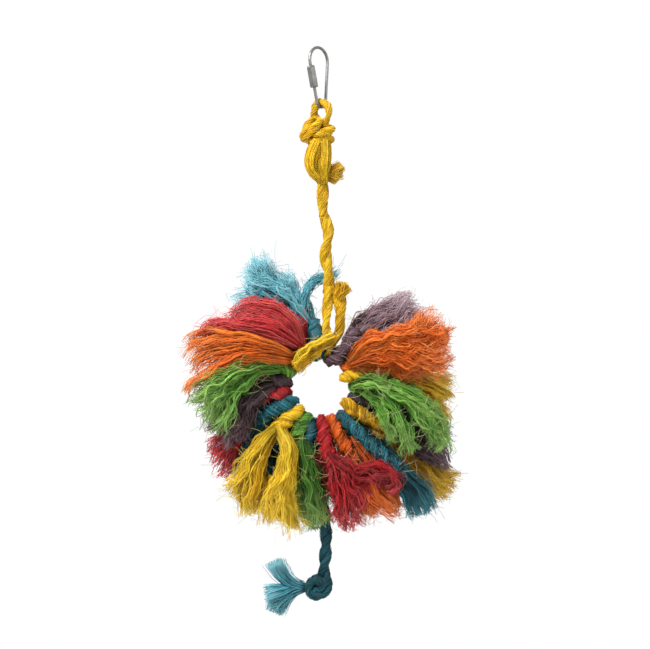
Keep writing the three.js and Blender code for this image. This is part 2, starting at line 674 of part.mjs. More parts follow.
// The drop rope's free end: a stretch that sways, its knot and its frayed tuft
function makeDropEnd() {
  const drop = new THREE.Group();
  drop.add(piece("drop_rope", toGeometry(bendingRope(DROP_ROUTE, DROP_ROPE, 6)), dyed("teal")));
  const below = toPoints(DROP_ROUTE).at(-1);
  const lump = knot(DROP_KNOT_WIDTH, DROP_KNOT_DEPTH, DROP_KNOT_HEIGHT, KNOT_ROPE);
  const tied = piece("drop_knot", toGeometry(lump), dyed("teal"));
  const centre = below.clone();
  centre.x += DROP_KNOT_OFFSET;
  centre.z -= CLEARANCE + DROP_KNOT_HEIGHT / 2;
  tied.position.copy(centre);
  drop.add(tied);

  const start = new THREE.Vector3(-DROP_KNOT_WIDTH / 4, 0, 0);
  const reach = TUFT_REACH + DROP_KNOT_WIDTH / 4;
  const r = TUFT_ROOT / 2;
  const fans = TUFT_TIPS.map(([height, size]) => {
    const line = new THREE.QuadraticBezierCurve3(
      start,
      start.clone().add(new THREE.Vector3(-reach * 0.5, 0, height * 0.15)),
      start.clone().add(new THREE.Vector3(-reach, 0, height)),
    );
    const profile = [
      [0, 0], [r * 0.8, 0], [r * 0.9, 0.35], [size * 0.8, 0.62], [size, 0.88], [size * 0.5, 1], [0, 1],
    ];
    return lock(line, profile, 0.8);
  });
  const tuft = piece("drop_tuft", toGeometry(clearOf(join(fans), lump)), dyed("teal"));
  tuft.position.copy(centre);
  drop.add(tuft);
  return drop;
}

function makeRing(ringCentre) {
  const ring = new THREE.Group();
  ring.add(piece("core_ring", coreRing(0), steel()));
  const hidden = hiddenDrop(0);
  const bore = toSolid(coreRing(CLEARANCE));
  const dropLoop = join([loopAt(placeAngle(DROP_PLACE)), hidden.tube]).subtract(bore);
  ring.add(piece("drop_loop", toGeometry(outside(dropLoop)), dyed("teal")));
  const dropEnd = makeDropEnd();
  dropEnd.position.copy(hidden.end).add(new THREE.Vector3(0, 0, -CLEARANCE - DROP_ROPE / 2));
  ring.add(dropEnd);
  const inTheWay = [
    hitchRoom(ringCentre),
    toSolid(hiddenDrop(DROP_CLEARANCE).tube),
    toSolid(ball(DROP_ROPE + 2 * DROP_CLEARANCE, dropEnd.position, 8)),
  ];
  for (const tassel of TASSELS) {
    const name = `tassel_${String(tassel.place).padStart(2, "0")}_${tassel.dye}`;
    ring.add(makeLoop(`${name}_loop`, tassel), makeBrush(`${name}_brush`, tassel, inTheWay));
  }
  ring.add(makeHangerEnd());
  return ring;
}

const toy = new THREE.Group();
toy.add(makeLink());
const hitchGroup = new THREE.Group();
const ringTop = new THREE.Vector3(0, 0, -HITCH_HEIGHT - LOOP_REACH);
const ringCentre = ringTop.sub(onRing(CORE_RADIUS, HANGER_ANGLE));
const ring = makeRing(ringCentre);
ring.position.copy(ringCentre);
hitchGroup.add(makeHitch(ringCentre), makeHitchTail(), ring);
toy.add(makeHanger(hitchGroup));

export default toy;
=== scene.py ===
# %% [markdown]
# # A bird preening toy, dressed in Blender
#
# The toy is a ring of dyed sisal tassels that hangs on a twisted rope from a steel quick link. A bird
# pulls at the fibres. The frame that is loaded here has its solids in their right places and sizes.
# This lesson gives them their looks: ropes made of twisted fibres, frayed tassels and worn steel.
# All sizes are written in millimetres and turned into metres when a mesh is made.

# %% Load the frame
import math
import bpy
import numpy as np
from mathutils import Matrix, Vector


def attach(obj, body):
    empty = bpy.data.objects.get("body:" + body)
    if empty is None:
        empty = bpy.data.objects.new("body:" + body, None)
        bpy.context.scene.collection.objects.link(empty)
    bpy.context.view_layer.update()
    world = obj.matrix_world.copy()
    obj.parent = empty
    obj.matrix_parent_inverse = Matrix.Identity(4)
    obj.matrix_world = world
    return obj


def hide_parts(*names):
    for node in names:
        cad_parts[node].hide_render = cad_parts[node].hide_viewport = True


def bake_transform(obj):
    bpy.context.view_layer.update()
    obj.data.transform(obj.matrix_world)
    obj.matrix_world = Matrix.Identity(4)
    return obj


MM = 0.001
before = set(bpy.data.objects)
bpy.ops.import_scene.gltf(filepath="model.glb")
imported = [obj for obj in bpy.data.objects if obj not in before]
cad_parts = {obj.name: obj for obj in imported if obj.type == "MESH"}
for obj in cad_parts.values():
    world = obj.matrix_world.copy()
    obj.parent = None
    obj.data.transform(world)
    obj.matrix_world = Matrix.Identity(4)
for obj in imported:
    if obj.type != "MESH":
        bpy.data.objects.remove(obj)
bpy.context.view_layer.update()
print("frame with", len(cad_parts), "solids")

# %% [markdown]
# ## The camera
#
# The toy was seen level and straight from the front, from a fair distance, so its near and far fibres
# show at nearly the same scale. A long lens does that. The picture is 464 mm wide where the toy hangs,
# so the lens follows from the distance and Blender's 36 mm sensor.

# %% Camera
VIEW_WIDTH = 464.1
VIEW_DISTANCE = 1600
VIEW_ACROSS = 5
VIEW_HEIGHT = -196.7
SENSOR = 36
camera_place = (VIEW_ACROSS * MM, -VIEW_DISTANCE * MM, VIEW_HEIGHT * MM)
bpy.ops.object.select_all(action="DESELECT")
bpy.ops.object.camera_add(location=camera_place, rotation=(math.pi / 2, 0, 0))
camera = bpy.context.object
camera.data.sensor_width = SENSOR
camera.data.lens = SENSOR * VIEW_DISTANCE / VIEW_WIDTH
camera.data.clip_end = 20
bpy.context.scene.camera = camera
print("lens", round(camera.data.lens, 1), "mm")

# %% [markdown]
# ## One fibre, modelled once
#
# Rope and tassels are thousands of thin fibres. Blender's hair would give them too, but hair doesn't
# leave the file as a mesh. So one fibre is modelled as by hand: a cylinder with few sides, cut into
# rings with Bisect so that it can bend. Every other fibre is a copy of it, bent along its own line.

# %% The fibre to copy
FIBRE_SIDES = 3
FRONT_RINGS = 17


def model_fibre(sides, rings):
    bpy.ops.object.select_all(action="DESELECT")
    bpy.ops.mesh.primitive_cylinder_add(vertices=sides, radius=1, depth=1)
    fibre = bpy.context.object
    bpy.ops.object.mode_set(mode="EDIT")
    for cut in range(1, rings - 1):
        bpy.ops.mesh.select_all(action="SELECT")
        bpy.ops.mesh.bisect(plane_co=(0, 0, cut / (rings - 1) - 0.5), plane_no=(0, 0, 1))
    bpy.ops.object.mode_set(mode="OBJECT")
    spots = np.array([vertex.co for vertex in fibre.data.vertices])
    ring = np.rint((spots[:, 2] + 0.5) * (rings - 1)).astype(int)
    walls = np.array([face.vertices[:] for face in fibre.data.polygons if abs(face.normal.z) < 0.5])
    caps = np.array([face.vertices[:] for face in fibre.data.polygons if abs(face.normal.z) > 0.5])
    bpy.data.objects.remove(fibre)
    return dict(spots=spots, ring=ring, walls=walls, caps=caps)


fibre_store = {}


def fibre_with(sides, rings):
    if (sides, rings) not in fibre_store:
        fibre_store[sides, rings] = model_fibre(sides, rings)
    return fibre_store[sides, rings]


print("a tassel fibre has", len(fibre_with(FIBRE_SIDES, FRONT_RINGS)["walls"]) + 2, "faces")

# %% [markdown]
# ## Lines for the fibres to follow
#
# A rope or a lock of fibres is drawn as a few points, and a smooth curve goes through them, as a Bezier
# curve would. A fourth number at a point, where there is one, is a thickness or width, and is smoothed
# along with its place.

# %% Smooth lines
def smooth_line(points, steps):
    knots = np.array(points, float)
    gaps = np.linalg.norm(np.diff(knots[:, :3], axis=0), axis=1)
    at = np.concatenate([[0], np.cumsum(gaps)])
    slope = np.gradient(knots, at, axis=0)
    walk = np.linspace(0, at[-1], steps)
    low = np.clip(np.searchsorted(at, walk, side="right") - 1, 0, len(gaps) - 1)
    part = ((walk - at[low]) / gaps[low])[:, None]
    gap = gaps[low][:, None]
    start = (1 + 2 * part) * (1 - part) ** 2 * knots[low] + part * (1 - part) ** 2 * gap * slope[low]
    end = part ** 2 * (3 - 2 * part) * knots[low + 1] + part ** 2 * (part - 1) * gap * slope[low + 1]
    return start + end


# %% [markdown]
# To lay a fibre on a line, each ring of it needs a direction to point in. The first is square to the line
# and to an odd direction that no line starts along. It is then carried from ring to ring, so the fibre
# doesn't spin where the line bends, as a bevelled curve with minimum twist doesn't.

# %% Fibres laid on lines
def unit(vectors):
    return vectors / np.linalg.norm(vectors, axis=-1, keepdims=True)


ODD_WAY = (0.35, 0.9, 0.25)


def directions(lines):
    ahead = unit(np.gradient(lines, axis=1))
    side = np.empty_like(ahead)
    side[:, 0] = unit(np.cross(ahead[:, 0], ODD_WAY))
    for step in range(1, lines.shape[1]):
        lean = (side[:, step - 1] * ahead[:, step]).sum(axis=1, keepdims=True)
        side[:, step] = unit(side[:, step - 1] - ahead[:, step] * lean)
    return ahead, side, np.cross(ahead, side)


def lay_fibres(lines, radius, tone, sides=FIBRE_SIDES):
    count, rings = lines.shape[:2]
    fibre = fibre_with(sides, rings)
    ring = fibre["ring"]
    side, up = directions(lines)[1:]
    out = fibre["spots"][:, :1] * side[:, ring] + fibre["spots"][:, 1:2] * up[:, ring]
    spots = lines[:, ring] + radius[:, ring, None] * out
    shift = np.arange(count)[:, None, None] * len(ring)
    return dict(
        spots=spots.reshape(-1, 3),
        walls=(fibre["walls"] + shift).reshape(-1, 4),
        caps=(fibre["caps"] + shift).reshape(-1, sides),
        tone=np.repeat(tone, len(ring)),
        along=np.tile(ring / (rings - 1), count),
    )


# %% [markdown]
# ## From fibres to a piece
#
# An object for each fibre would be slow, so all fibres of a piece go into one mesh. Two numbers are kept
# on its vertices for the dye: tone, a chance shade for each fibre, and along, which goes from 0 at the
# root to 1 at the tip.

# %% Make a piece
def make_piece(name, bundles, finish):
    spots, faces, first = [], [], 0
    for bundle in bundles:
        spots.append(bundle["spots"])
        faces += (bundle["walls"] + first).tolist() + (bundle["caps"] + first).tolist()
        first += len(bundle["spots"])
    mesh = bpy.data.meshes.new(name)
    mesh.from_pydata(np.concatenate(spots) * MM, [], faces)
    for label in ("tone", "along"):
        values = np.concatenate([bundle[label] for bundle in bundles])
        mesh.attributes.new(label, "FLOAT", "POINT").data.foreach_set("value", values)
    mesh.materials.append(finish)
    mesh.shade_smooth()
    piece = bpy.data.objects.new(name, mesh)
    bpy.context.scene.collection.objects.link(piece)
    print(name, len(mesh.polygons), "faces")
    return piece


# %% [markdown]
# ## The dyes
#
# Sisal takes dye unevenly: each fibre has its own shade, the dye is thin at the frayed tips, and a few
# hairs stay nearly raw. An image of dyed fibre would show its own fibres, so the dye is built of nodes.
# Small helpers start a finish, add a node with its values, join two nodes and make a colour ramp.

# %% Helpers for finishes
def colour(red, green, blue):
    shares = [value / 255 for value in (red, green, blue)]
    return [s / 12.92 if s <= 0.04045 else ((s + 0.055) / 1.055) ** 2.4 for s in shares] + [1]


def new_finish(name):
    finish = bpy.data.materials.new(name)
    finish.use_nodes = True
    return finish, finish.node_tree, finish.node_tree.nodes["Principled BSDF"]


def add_node(tree, kind, **values):
    node = tree.nodes.new("ShaderNode" + kind)
    for socket, value in values.items():
        node.inputs[socket.replace("_", " ")].default_value = value
    return node


def join(tree, source, result, target, socket):
    tree.links.new(source.outputs[result], target.inputs[socket])


def colour_ramp(tree, stops):
    ramp = add_node(tree, "ValToRGB")
    while len(ramp.color_ramp.elements) < len(stops):
        ramp.color_ramp.elements.new(0.5)
    for element, (place, shade) in zip(ramp.color_ramp.elements, stops):
        element.position = place
        element.color = shade
    return ramp


def fibre_value(tree, label):
    value = add_node(tree, "Attribute")
    value.attribute_name = label
    return value


RAW_SISAL = colour(226, 208, 160)
print("raw sisal as Blender mixes it:", [round(part, 3) for part in RAW_SISAL])

# %% [markdown]
# A ramp on tone gives the shades. The value along pales the tips, and darkens the roots where little
# light comes in. A soft noise makes patches. The fibres are waxy, so the gloss is moderate and a fine
# noise breaks it up.

# %% Dyed sisal
def dyed_sisal(name, deep, main, light, tip):
    finish, tree, shader = new_finish(name)
    shader.inputs["Specular IOR Level"].default_value = 0.35
    shades = colour_ramp(tree, [(0, deep), (0.45, main), (0.85, light), (1, RAW_SISAL)])
    join(tree, fibre_value(tree, "tone"), "Fac", shades, "Fac")

    along = fibre_value(tree, "along")
    fade = add_node(tree, "MapRange", From_Min=0.55, To_Max=0.6)
    fade.interpolation_type = "SMOOTHSTEP"
    join(tree, along, "Fac", fade, "Value")
    tips = add_node(tree, "Mix")
    tips.data_type = "RGBA"
    tips.inputs["B"].default_value = tip
    join(tree, fade, "Result", tips, "Factor")
    join(tree, shades, "Color", tips, "A")

    where = add_node(tree, "TexCoord")
    patches = add_node(tree, "TexNoise", Scale=110, Detail=3)
    join(tree, where, "Object", patches, "Vector")
    strength = add_node(tree, "MapRange", From_Min=0.25, From_Max=0.75, To_Min=0.72, To_Max=1.2)
    join(tree, patches, "Fac", strength, "Value")
    # painted shade: fibres are darkened towards their roots, where the ring and other fibres keep light out
    root_shade = add_node(tree, "MapRange", From_Max=0.5, To_Min=0.7)
    root_shade.interpolation_type = "SMOOTHSTEP"
    join(tree, along, "Fac", root_shade, "Value")
    depth = add_node(tree, "Math")
    depth.operation = "MULTIPLY"
    join(tree, strength, "Result", depth, 0)
    join(tree, root_shade, "Result", depth, 1)
    # dye patches and the painted root shade scale the colour's value
    patches_and_root_shade = add_node(tree, "HueSaturation")
    join(tree, depth, "Value", patches_and_root_shade, "Value")
    join(tree, tips, "Result", patches_and_root_shade, "Color")
    join(tree, patches_and_root_shade, "Color", shader, "Base Color")

    grain = add_node(tree, "TexNoise", Scale=1900, Detail=2)
    join(tree, where, "Object", grain, "Vector")
    wax = add_node(tree, "MapRange", To_Min=0.42, To_Max=0.68)
    join(tree, grain, "Fac", wax, "Value")
    join(tree, wax, "Result", shader, "Roughness")
    ridges = add_node(tree, "Bump", Strength=0.3, Distance=0.0001)
    join(tree, grain, "Fac", ridges, "Height")
    join(tree, ridges, "Normal", shader, "Normal")
    return finish


DYE_SHADES = {
    "yellow": [(160, 100, 8), (232, 184, 20), (255, 228, 60), (246, 212, 76)],
    "orange": [(176, 64, 12), (246, 118, 30), (255, 150, 56), (242, 146, 76)],
    "red": [(112, 12, 18), (204, 38, 44), (228, 78, 82), (216, 88, 92)],
    "teal": [(6, 40, 46), (26, 108, 122), (60, 158, 172), (84, 158, 170)],
    "green": [(30, 72, 20), (100, 162, 54), (156, 206, 94), (166, 200, 116)],
    "pale_teal": [(20, 76, 88), (88, 178, 196), (140, 210, 220), (150, 208, 218)],
    "lilac": [(64, 46, 54), (166, 132, 142), (206, 178, 186), (214, 192, 200)],
    "purple": [(34, 24, 26), (80, 58, 64), (132, 106, 112), (150, 122, 132)],
}
DYES = {}
for name, shades in DYE_SHADES.items():
    DYES[name] = dyed_sisal(name + "_sisal", *[colour(*shade) for shade in shades])
print("dyes:", ", ".join(DYES))

# %% [markdown]
# ## Twisted rope
#
# The rope is two plies laid round each other, and each ply is itself a bundle of fibres. A tube with a
# bumpy material would look like plastic. Here each ply is a thin tube that keeps light from shining
# through, dark with painted shade, covered by real fibres that wind round it. Fibre shades vary, so the
# lay shows. Lay is the length of one full twist.

# %% Rope
PLY_OFFSET = 0.18
PLY_RADIUS = 0.32
PLY_TWIST = 1.7
INNER_SIZE = 0.9
INNER_SHADE_TONE = 0.22
TUBE_SIDES = 8


def evenly_dyed_no_root_shade(bundle):
    # along 0.5 gives no paler tips and no painted root shade
    bundle["along"][:] = 0.5
    return bundle


def rope(points, lay, steps, fibres, chance, turn=0.0, shade=0.0):
    line = smooth_line(points, steps)
    thick = line[:, 3:]
    line = line[:, :3]
    side, up = (part[0] for part in directions(line[None])[1:])
    walked = np.concatenate([[0], np.cumsum(np.linalg.norm(np.diff(line, axis=0), axis=1))])
    bundles = []
    for ply in (0, 1):
        swing = (2 * math.pi * walked / lay + math.pi * ply + turn)[:, None]
        middle = line + PLY_OFFSET * thick * (np.cos(swing) * side + np.sin(swing) * up)
        ply_radius = PLY_RADIUS * thick.T
        # painted shade: the tube under the ply's fibres is dark, as the hidden fibres there would be in shade
        dark = np.array([INNER_SHADE_TONE + shade])
        bundles.append(lay_fibres(middle[None], ply_radius * INNER_SIZE, dark, sides=TUBE_SIDES))
        first = 2 * math.pi * (np.arange(fibres) + chance.uniform(-0.4, 0.4, fibres)) / fibres
        spin = first[:, None] + PLY_TWIST * swing[None, :, 0] + chance.normal(0, 0.05, (fibres, steps))
        wander = np.cumsum(chance.normal(0, 0.03, (fibres, steps)), axis=1)
        lift = ply_radius * np.clip(chance.uniform(0.9, 1.04, (fibres, 1)) + wander, 0.86, 1.14)
        out = np.cos(spin)[..., None] * side + np.sin(spin)[..., None] * up
        width = 0.9 * math.pi * ply_radius / fibres * chance.uniform(0.75, 1.3, (fibres, 1))
        tone = np.clip(chance.normal(0.5 + shade, 0.16, fibres), 0.05, 0.9)
        bundles.append(lay_fibres(middle + lift[..., None] * out, width, tone))
    return [evenly_dyed_no_root_shade(bundle) for bundle in bundles]


def with_thickness(points, diameter):
    return [(*point, diameter) for point in points]


def line_length(points):
    return float(np.linalg.norm(np.diff(np.array(points), axis=0), axis=1).sum())


# %% [markdown]
# ## The hanger rope's run
#
# Between the knot under the link and the hitch on the ring, the yellow rope hangs straight but keeps
# the bends of its twist. It is drawn once and cut in two, because its upper half bends at the knot when
# the toy sways and its lower half twists when the ring turns.

# %% Hanger run
ROPE = 8
ROPE_LAY = 47
ROPE_FIBRES = 30
RUN_TOP = np.array([3.546, 0, -98.522])
RUN_ROUTE = [(0.2, 0, 36), (0.4, 0, 27), (1.4, 0, 21), (1.6, 0, 15), (0.9, 0, 9), (0.2, 0, 4),
             (0, 0, 0), (-0.2, 0.2, -5), (-0.4, 0.5, -10), (-0.1, 0.7, -15), (0.8, 0.6, -20),
             (2.3, 0.2, -25), (3.5, -0.3, -30), (3.7, -0.7, -35), (2.9, -0.8, -40), (2.1, -0.5, -45),
             (2, 0, -50), (2.7, 0.5, -55), (3.6, 0.5, -59), (4.2, 0.2, -63), (4.3, 0, -69), (4, 0, -76)]
RUN_STEPS = 96
RUN_TURN = 0.4
run_line = smooth_line(RUN_ROUTE, RUN_STEPS) + RUN_TOP
run_chance = np.random.default_rng(3)
cut = RUN_STEPS // 2


def run_half(name, part, turn):
    bundles = rope(with_thickness(part, ROPE), ROPE_LAY, len(part), ROPE_FIBRES, run_chance, turn)
    return make_piece(name, bundles, DYES["yellow"])


upper_run = run_half("hanger_run_upper", run_line[: cut + 1], RUN_TURN)
passed = 2 * math.pi * line_length(run_line[: cut + 1]) / ROPE_LAY
lower_run = run_half("hanger_run_lower", run_line[cut:], RUN_TURN + passed)
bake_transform(upper_run)
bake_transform(lower_run)
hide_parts("hanger_run", "hanger_neck")
print("hanger rope from knot to hitch:", round(line_length(run_line)), "mm")

# %% [markdown]
# ## Wisps
#
# Where a rope is unravelled, its fibres keep together in wisps, and each wisp keeps the wave that the
# twist pressed into it. Hair children in Blender clump in much the same way. Here chance gives each wisp
# a place in its lock, a long wave, a short crimp, an uneven cut, a hook at its end and a shade.

# %% Wisps
WISP_WAVE = (16, 24)
CRIMP_WAVE = (7, 12)
UNEVEN_CUT = 0.13
HOOK = 2.2


def draw_wisps(wisps, curl, shade, varied, chance):
    spread = np.sqrt(chance.random(wisps))
    turned = 2 * math.pi * chance.random(wisps)
    return dict(
        place=spread * np.stack([np.cos(turned), np.sin(turned)]),
        wave=chance.uniform(*WISP_WAVE) * chance.uniform(0.9, 1.1, wisps),
        phase=2 * math.pi * chance.random((2, 1)) + chance.normal(0, 0.8, (2, wisps)),
        swell=chance.uniform(0.4, 1.4, wisps),
        crimp_wave=chance.uniform(*CRIMP_WAVE, wisps),
        crimp_phase=2 * math.pi * chance.random((2, wisps)),
        cut=chance.uniform(0, UNEVEN_CUT, wisps),
        hook=HOOK * curl * chance.normal(0, 1, (2, wisps)),
        tone=chance.normal(0.48 + shade, varied, wisps),
    )


# %% [markdown]
# ## A lock of frayed fibres
#
# A lock is drawn by a few points with a width. Its wisps are spread over that width, and each fibre
# follows its wisp with a small wave of its own. Crimp is the height of the ripple, curl that of a wisp's
# wave, and clump the number of fibres in a wisp. About one fibre in five is a fine hair that strays.

# %% Frayed locks
LOCK_STEPS = 41
FIBRE_RADIUS = 0.26
FIBRES_PER_WISP = 9
HAIR_RADIUS = 0.13
FINE_SHARE = 0.2
FIBRE_TAPER = ([0, 0.6, 1], [1, 0.95, 0.75])
LOOSE_AT = 0.6
HOOK_START = 0.55
MORE_DEPTH = 3


def lock_ways(line):
    ahead = unit(np.gradient(line[:, :3], axis=0))
    across_way = unit(np.cross(ahead, (0, 1, 0)))
    return across_way, np.cross(across_way, ahead)


def frayed_lock(points, count, crimp, curl, chance, shade, rings, clump=FIBRES_PER_WISP,
                fibre_radius=FIBRE_RADIUS, varied=0.17, fuzz=1.0):
    line = smooth_line(points, LOCK_STEPS)
    across_way, deep_way = lock_ways(line)
    wisps = max(5, count // clump)
    member = chance.integers(0, wisps, count)
    drawn = draw_wisps(wisps, curl, shade, varied, chance)
    wisp = {label: values[..., member, None] for label, values in drawn.items()}

    first = chance.uniform(0, 0.04, (count, 1))
    last = 1 - wisp["cut"] - np.abs(chance.normal(0, 0.025, (count, 1)))
    share = first + (last - first) * np.linspace(0, 1, rings)
    spot = share * (LOCK_STEPS - 1)
    low = np.clip(spot.astype(int), 0, LOCK_STEPS - 2)
    part = (spot - low)[..., None]
    at = line[low] * (1 - part) + line[low + 1] * part

    loose = np.clip(share / LOOSE_AT, 0, 1)
    loose = loose * loose * (3 - 2 * loose)
    hooked = np.clip((share - HOOK_START) / (1 - HOOK_START), 0, 1) ** 2
    walked = 2 * math.pi * share * line_length(line[:, :3])
    fine = chance.random(count) < FINE_SHARE * fuzz
    stray = np.where(fine, chance.uniform(1, 2, count), 1.0)[:, None]
    slip = chance.normal(0, 0.6, (count, 1))
    offsets = []
    for way, reach, free in ((0, at[..., 3], stray), (1, at[..., 3] + MORE_DEPTH, 0.7)):
        wave = np.sin(walked / wisp["wave"] + wisp["phase"][way])
        wave = curl * wisp["swell"] * loose * wave + wisp["hook"][way] * hooked
        ripple = np.sin(walked / wisp["crimp_wave"] + wisp["crimp_phase"][way] + slip)
        ripple = crimp * (0.2 + 0.8 * loose) * ripple
        own = fuzz * chance.normal(0, 1, (count, 1)) * (0.45 + 0.7 * share)
        offset = wisp["place"][way] * reach + (wave + ripple + own) * free
        offsets.append(offset[..., None])
    lines = at[..., :3] + offsets[0] * across_way[low] + offsets[1] * deep_way[low]
    taper = np.interp(np.linspace(0, 1, rings), *FIBRE_TAPER)
    thick = np.where(fine, HAIR_RADIUS, fibre_radius) * chance.uniform(0.75, 1.3, count)
    tone = np.clip(wisp["tone"][:, 0] + chance.normal(0, 0.12, count) + 0.12 * fine, 0.02, 0.86)
    return lay_fibres(lines, thick[:, None] * taper, tone)


# %% [markdown]
# Deep inside a lock the fibres are matted and hardly any light gets through. A few thick strands along
# its middle do that at the cost of few faces, and their dark tone is painted shade.

# %% Dark core of a lock, painted shade
CORE_PER_MM = 3.2
CORE_TAPER = ([0, 0.7, 1], [1, 1, 0.3])


def painted_shade_core(points, chance, shade, rings=8):
    line = smooth_line(points, LOCK_STEPS)
    count = int(CORE_PER_MM * line[:, 3].max())
    across_way = lock_ways(line)[0]
    last = chance.uniform(0.74, 0.9, (count, 1))
    at = np.rint(last * np.linspace(0.03, 1, rings) * (LOCK_STEPS - 1)).astype(int)
    spread = 0.72 * np.sqrt(chance.random((count, 1))) * np.cos(math.pi * chance.random((count, 1)))
    deep = chance.uniform(-0.3, 0.3, (count, 1))
    lines = line[at, :3] + (spread * line[at, 3])[..., None] * across_way[at]
    lines[..., 1] += deep * line[at, 3]
    taper = np.interp(np.linspace(0, 1, rings), *CORE_TAPER)
    thick = chance.uniform(0.5, 0.85, (count, 1)) * taper
    # painted shade: the core strands are given a dark tone
    return lay_fibres(lines, thick, np.clip(chance.normal(0.16 + shade, 0.07, count), 0.02, 0.5))


# %% [markdown]
# The outer end of a lock is a loose mat: fine fibres lie across the others there, each with a bend of
# its own. Without them a lock would end like a comb.

# %% Loose mat at the end of a lock
MAT_RADIUS = 0.12


def loose_mat(points, count, chance, shade=0.0, rings=6):
    line = smooth_line(points, LOCK_STEPS)
    start = chance.integers(18, 38, count)
    flat = np.array([1, 0.5, 1])
    heading = unit(chance.normal(0, 1, (count, 3)) * flat)
    bend = chance.normal(0, 0.36, (count, 3)) * flat
    reach = chance.uniform(4, 11, (count, 1, 1))
    share = np.linspace(-0.5, 0.5, rings)[None, :, None]
    middle = line[start, :3] + chance.uniform(-0.9, 0.9, (count, 3)) * line[start, 3:] * flat
    lines = middle[:, None] + reach * (share * heading[:, None] + 4 * share ** 2 * bend[:, None])
    tone = np.clip(chance.normal(0.55 + shade, 0.16, count), 0.05, 0.86)
    return lay_fibres(lines, np.full((count, rings), MAT_RADIUS), tone)


# %% [markdown]
# ## Stray hairs
#
# Thin pale hairs curl out of every frayed end. They are what makes the toy look soft at its edges. Each
# one starts inside a lock and wanders, turning a little at every step.

# %% Stray hairs
def stray_hairs(points, count, reach, chance, rings=15):
    line = smooth_line(points, LOCK_STEPS)
    start = chance.integers(2, 17, count)
    heading = unit(np.gradient(line[:, :3], axis=0))[start]
    flat = np.array([1, 0.2, 1])
    heading = unit((heading + chance.normal(0, 0.45, (count, 3))) * flat)
    bend = chance.normal(0, 0.2, (count, 3)) * flat
    step = (reach * chance.uniform(0.5, 1.1, count) / rings)[:, None]
    place = line[start, :3] + chance.normal(0, 0.5, (count, 3)) * line[start, 3:] * flat
    spots = []
    for ring in range(rings):
        spots.append(place)
        place = place + heading * step
        bend = bend + chance.normal(0, 0.07, (count, 3)) * flat
        heading = unit(heading + bend)
    radius = np.full((count, rings), HAIR_RADIUS)
    return lay_fibres(np.stack(spots, axis=1), radius, chance.choice([0.8, 0.95, 1.0], count))


# %% [markdown]
# ## The drop rope
#
# A teal rope is hitched to the ring's lowest point, passes behind the front tassels and ends in a knot
# and a frayed tuft. A bevelled curve would be a smooth tube, so it is laid of fibres as the hanger is.
# It hangs under its own weight, and its end sways.

# %% Drop rope
DROP_ROPE = 8.4
DROP_LAY = 30
DROP_STEPS = 64
# Partly the rope's dye, partly painted shade: the drop hangs lowest, where less light falls.
DROP_SHADE = -0.28
DROP_ROUTE = [(-6.1, 0, -276), (-7.5, 0, -282), (-8.9, 0, -288.2), (-9.7, 0, -294), (-7.6, 0, -303),
              (-1.7, 0, -315), (3.4, 0, -328), (5.7, 0, -339), (5.7, 0, -345.8), (5.7, 0, -352.3),
              (5.5, 0, -358.3), (4.9, 0, -364.3), (4.4, 0, -369.3), (4.2, 0, -374.3), (3.6, 0, -380)]
drop_line = smooth_line(DROP_ROUTE, DROP_STEPS)
drop_bundles = rope(with_thickness(drop_line, DROP_ROPE), DROP_LAY, DROP_STEPS, ROPE_FIBRES,
                    np.random.default_rng(5), shade=DROP_SHADE)
drop_rope = make_piece("drop_rope_laid", drop_bundles, DYES["teal"])
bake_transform(drop_rope)
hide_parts("drop_loop", "drop_rope")

# %% [markdown]
# The knot is an overhand knot pulled tight: one turn of rope faces the front, another lies behind it.
# It is drawn as three short ropes, because one rope pulled that tight would cut into itself.

# %% Drop knot
KNOT_LAY = 34
KNOT_STEPS = 34
KNOT_FIBRES = 26


def tied_knot(turns, place, lay, chance, shade=0.0):
    bundles = []
    for route, size in turns:
        points = with_thickness(np.array(route) + place, size)
        bundles += rope(points, lay, KNOT_STEPS, KNOT_FIBRES, chance, shade=shade)
    return bundles


DROP_KNOT = np.array([-0.2, 0, -383.4])
FRONT_TURN = [(5, 1, 11), (7, -1.5, 6), (6.6, -3.6, -0.5), (3.6, -4.6, -5.6), (-1.4, -4.8, -6.6),
              (-5.2, -4.6, -3), (-4.6, -4.8, 2.6), (-0.6, -5.4, 4.6), (2.4, -5.4, 2), (1, -5, -1.4),
              (-1.6, -4, -1)]
BACK_TURN = [(-2.5, 0, 4), (2, 3.4, 5.5), (5.8, 4.4, 1.6), (4, 4.6, -4), (-1.5, 4.6, -5.6),
             (-5, 3.6, -2), (-3.5, 2.6, 3), (1, 1.5, 1)]
TAIL_OUT = [(4, 0, -1.5), (0, 0.8, -0.6), (-5, 0.6, -1.2), (-9.5, 0, -1), (-13.5, 0, -0.4)]
knot_chance = np.random.default_rng(6)
drop_turns = [(FRONT_TURN, 7.2), (BACK_TURN, 7.2), (TAIL_OUT, 7.6)]
knot_bundles = tied_knot(drop_turns, DROP_KNOT, KNOT_LAY, knot_chance, DROP_SHADE)
drop_knot = make_piece("drop_knot_tied", knot_bundles, DYES["teal"])
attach(drop_knot, "drop")
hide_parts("drop_knot")

# %% [markdown]
# Past the knot the rope's end is unravelled. Its fibres come out at the left in three flat locks: one
# turns up, one lies nearly level and one turns down. Locks drawn one by one keep the gaps between them.
# The knot and the tuft hang on the end of the cord, so they ride on the drop.

# %% Drop tuft and rope length
TUFT_LOCKS = [
    [(-10, 0, -0.5, 2.8), (-16, 0, 1, 3.4), (-22.5, -0.5, 5, 4.6), (-28, -1, 12, 5.8), (-31, -1, 19, 6.2)],
    [(-10, 0, -1.2, 2.8), (-16, 0.5, -1.4, 3.6), (-23, 0.5, -4, 6), (-31, 0, -7, 8.4), (-38, 0, -9, 7.6)],
    [(-10, 0.5, -1.5, 2.4), (-17, 1, -3.6, 3.4), (-24, 1.5, -9, 5.2), (-29, 1, -15, 6), (-31.5, 0.5, -20, 5)],
]


def moved(lock, place):
    return np.array(lock) + np.append(place, 0)


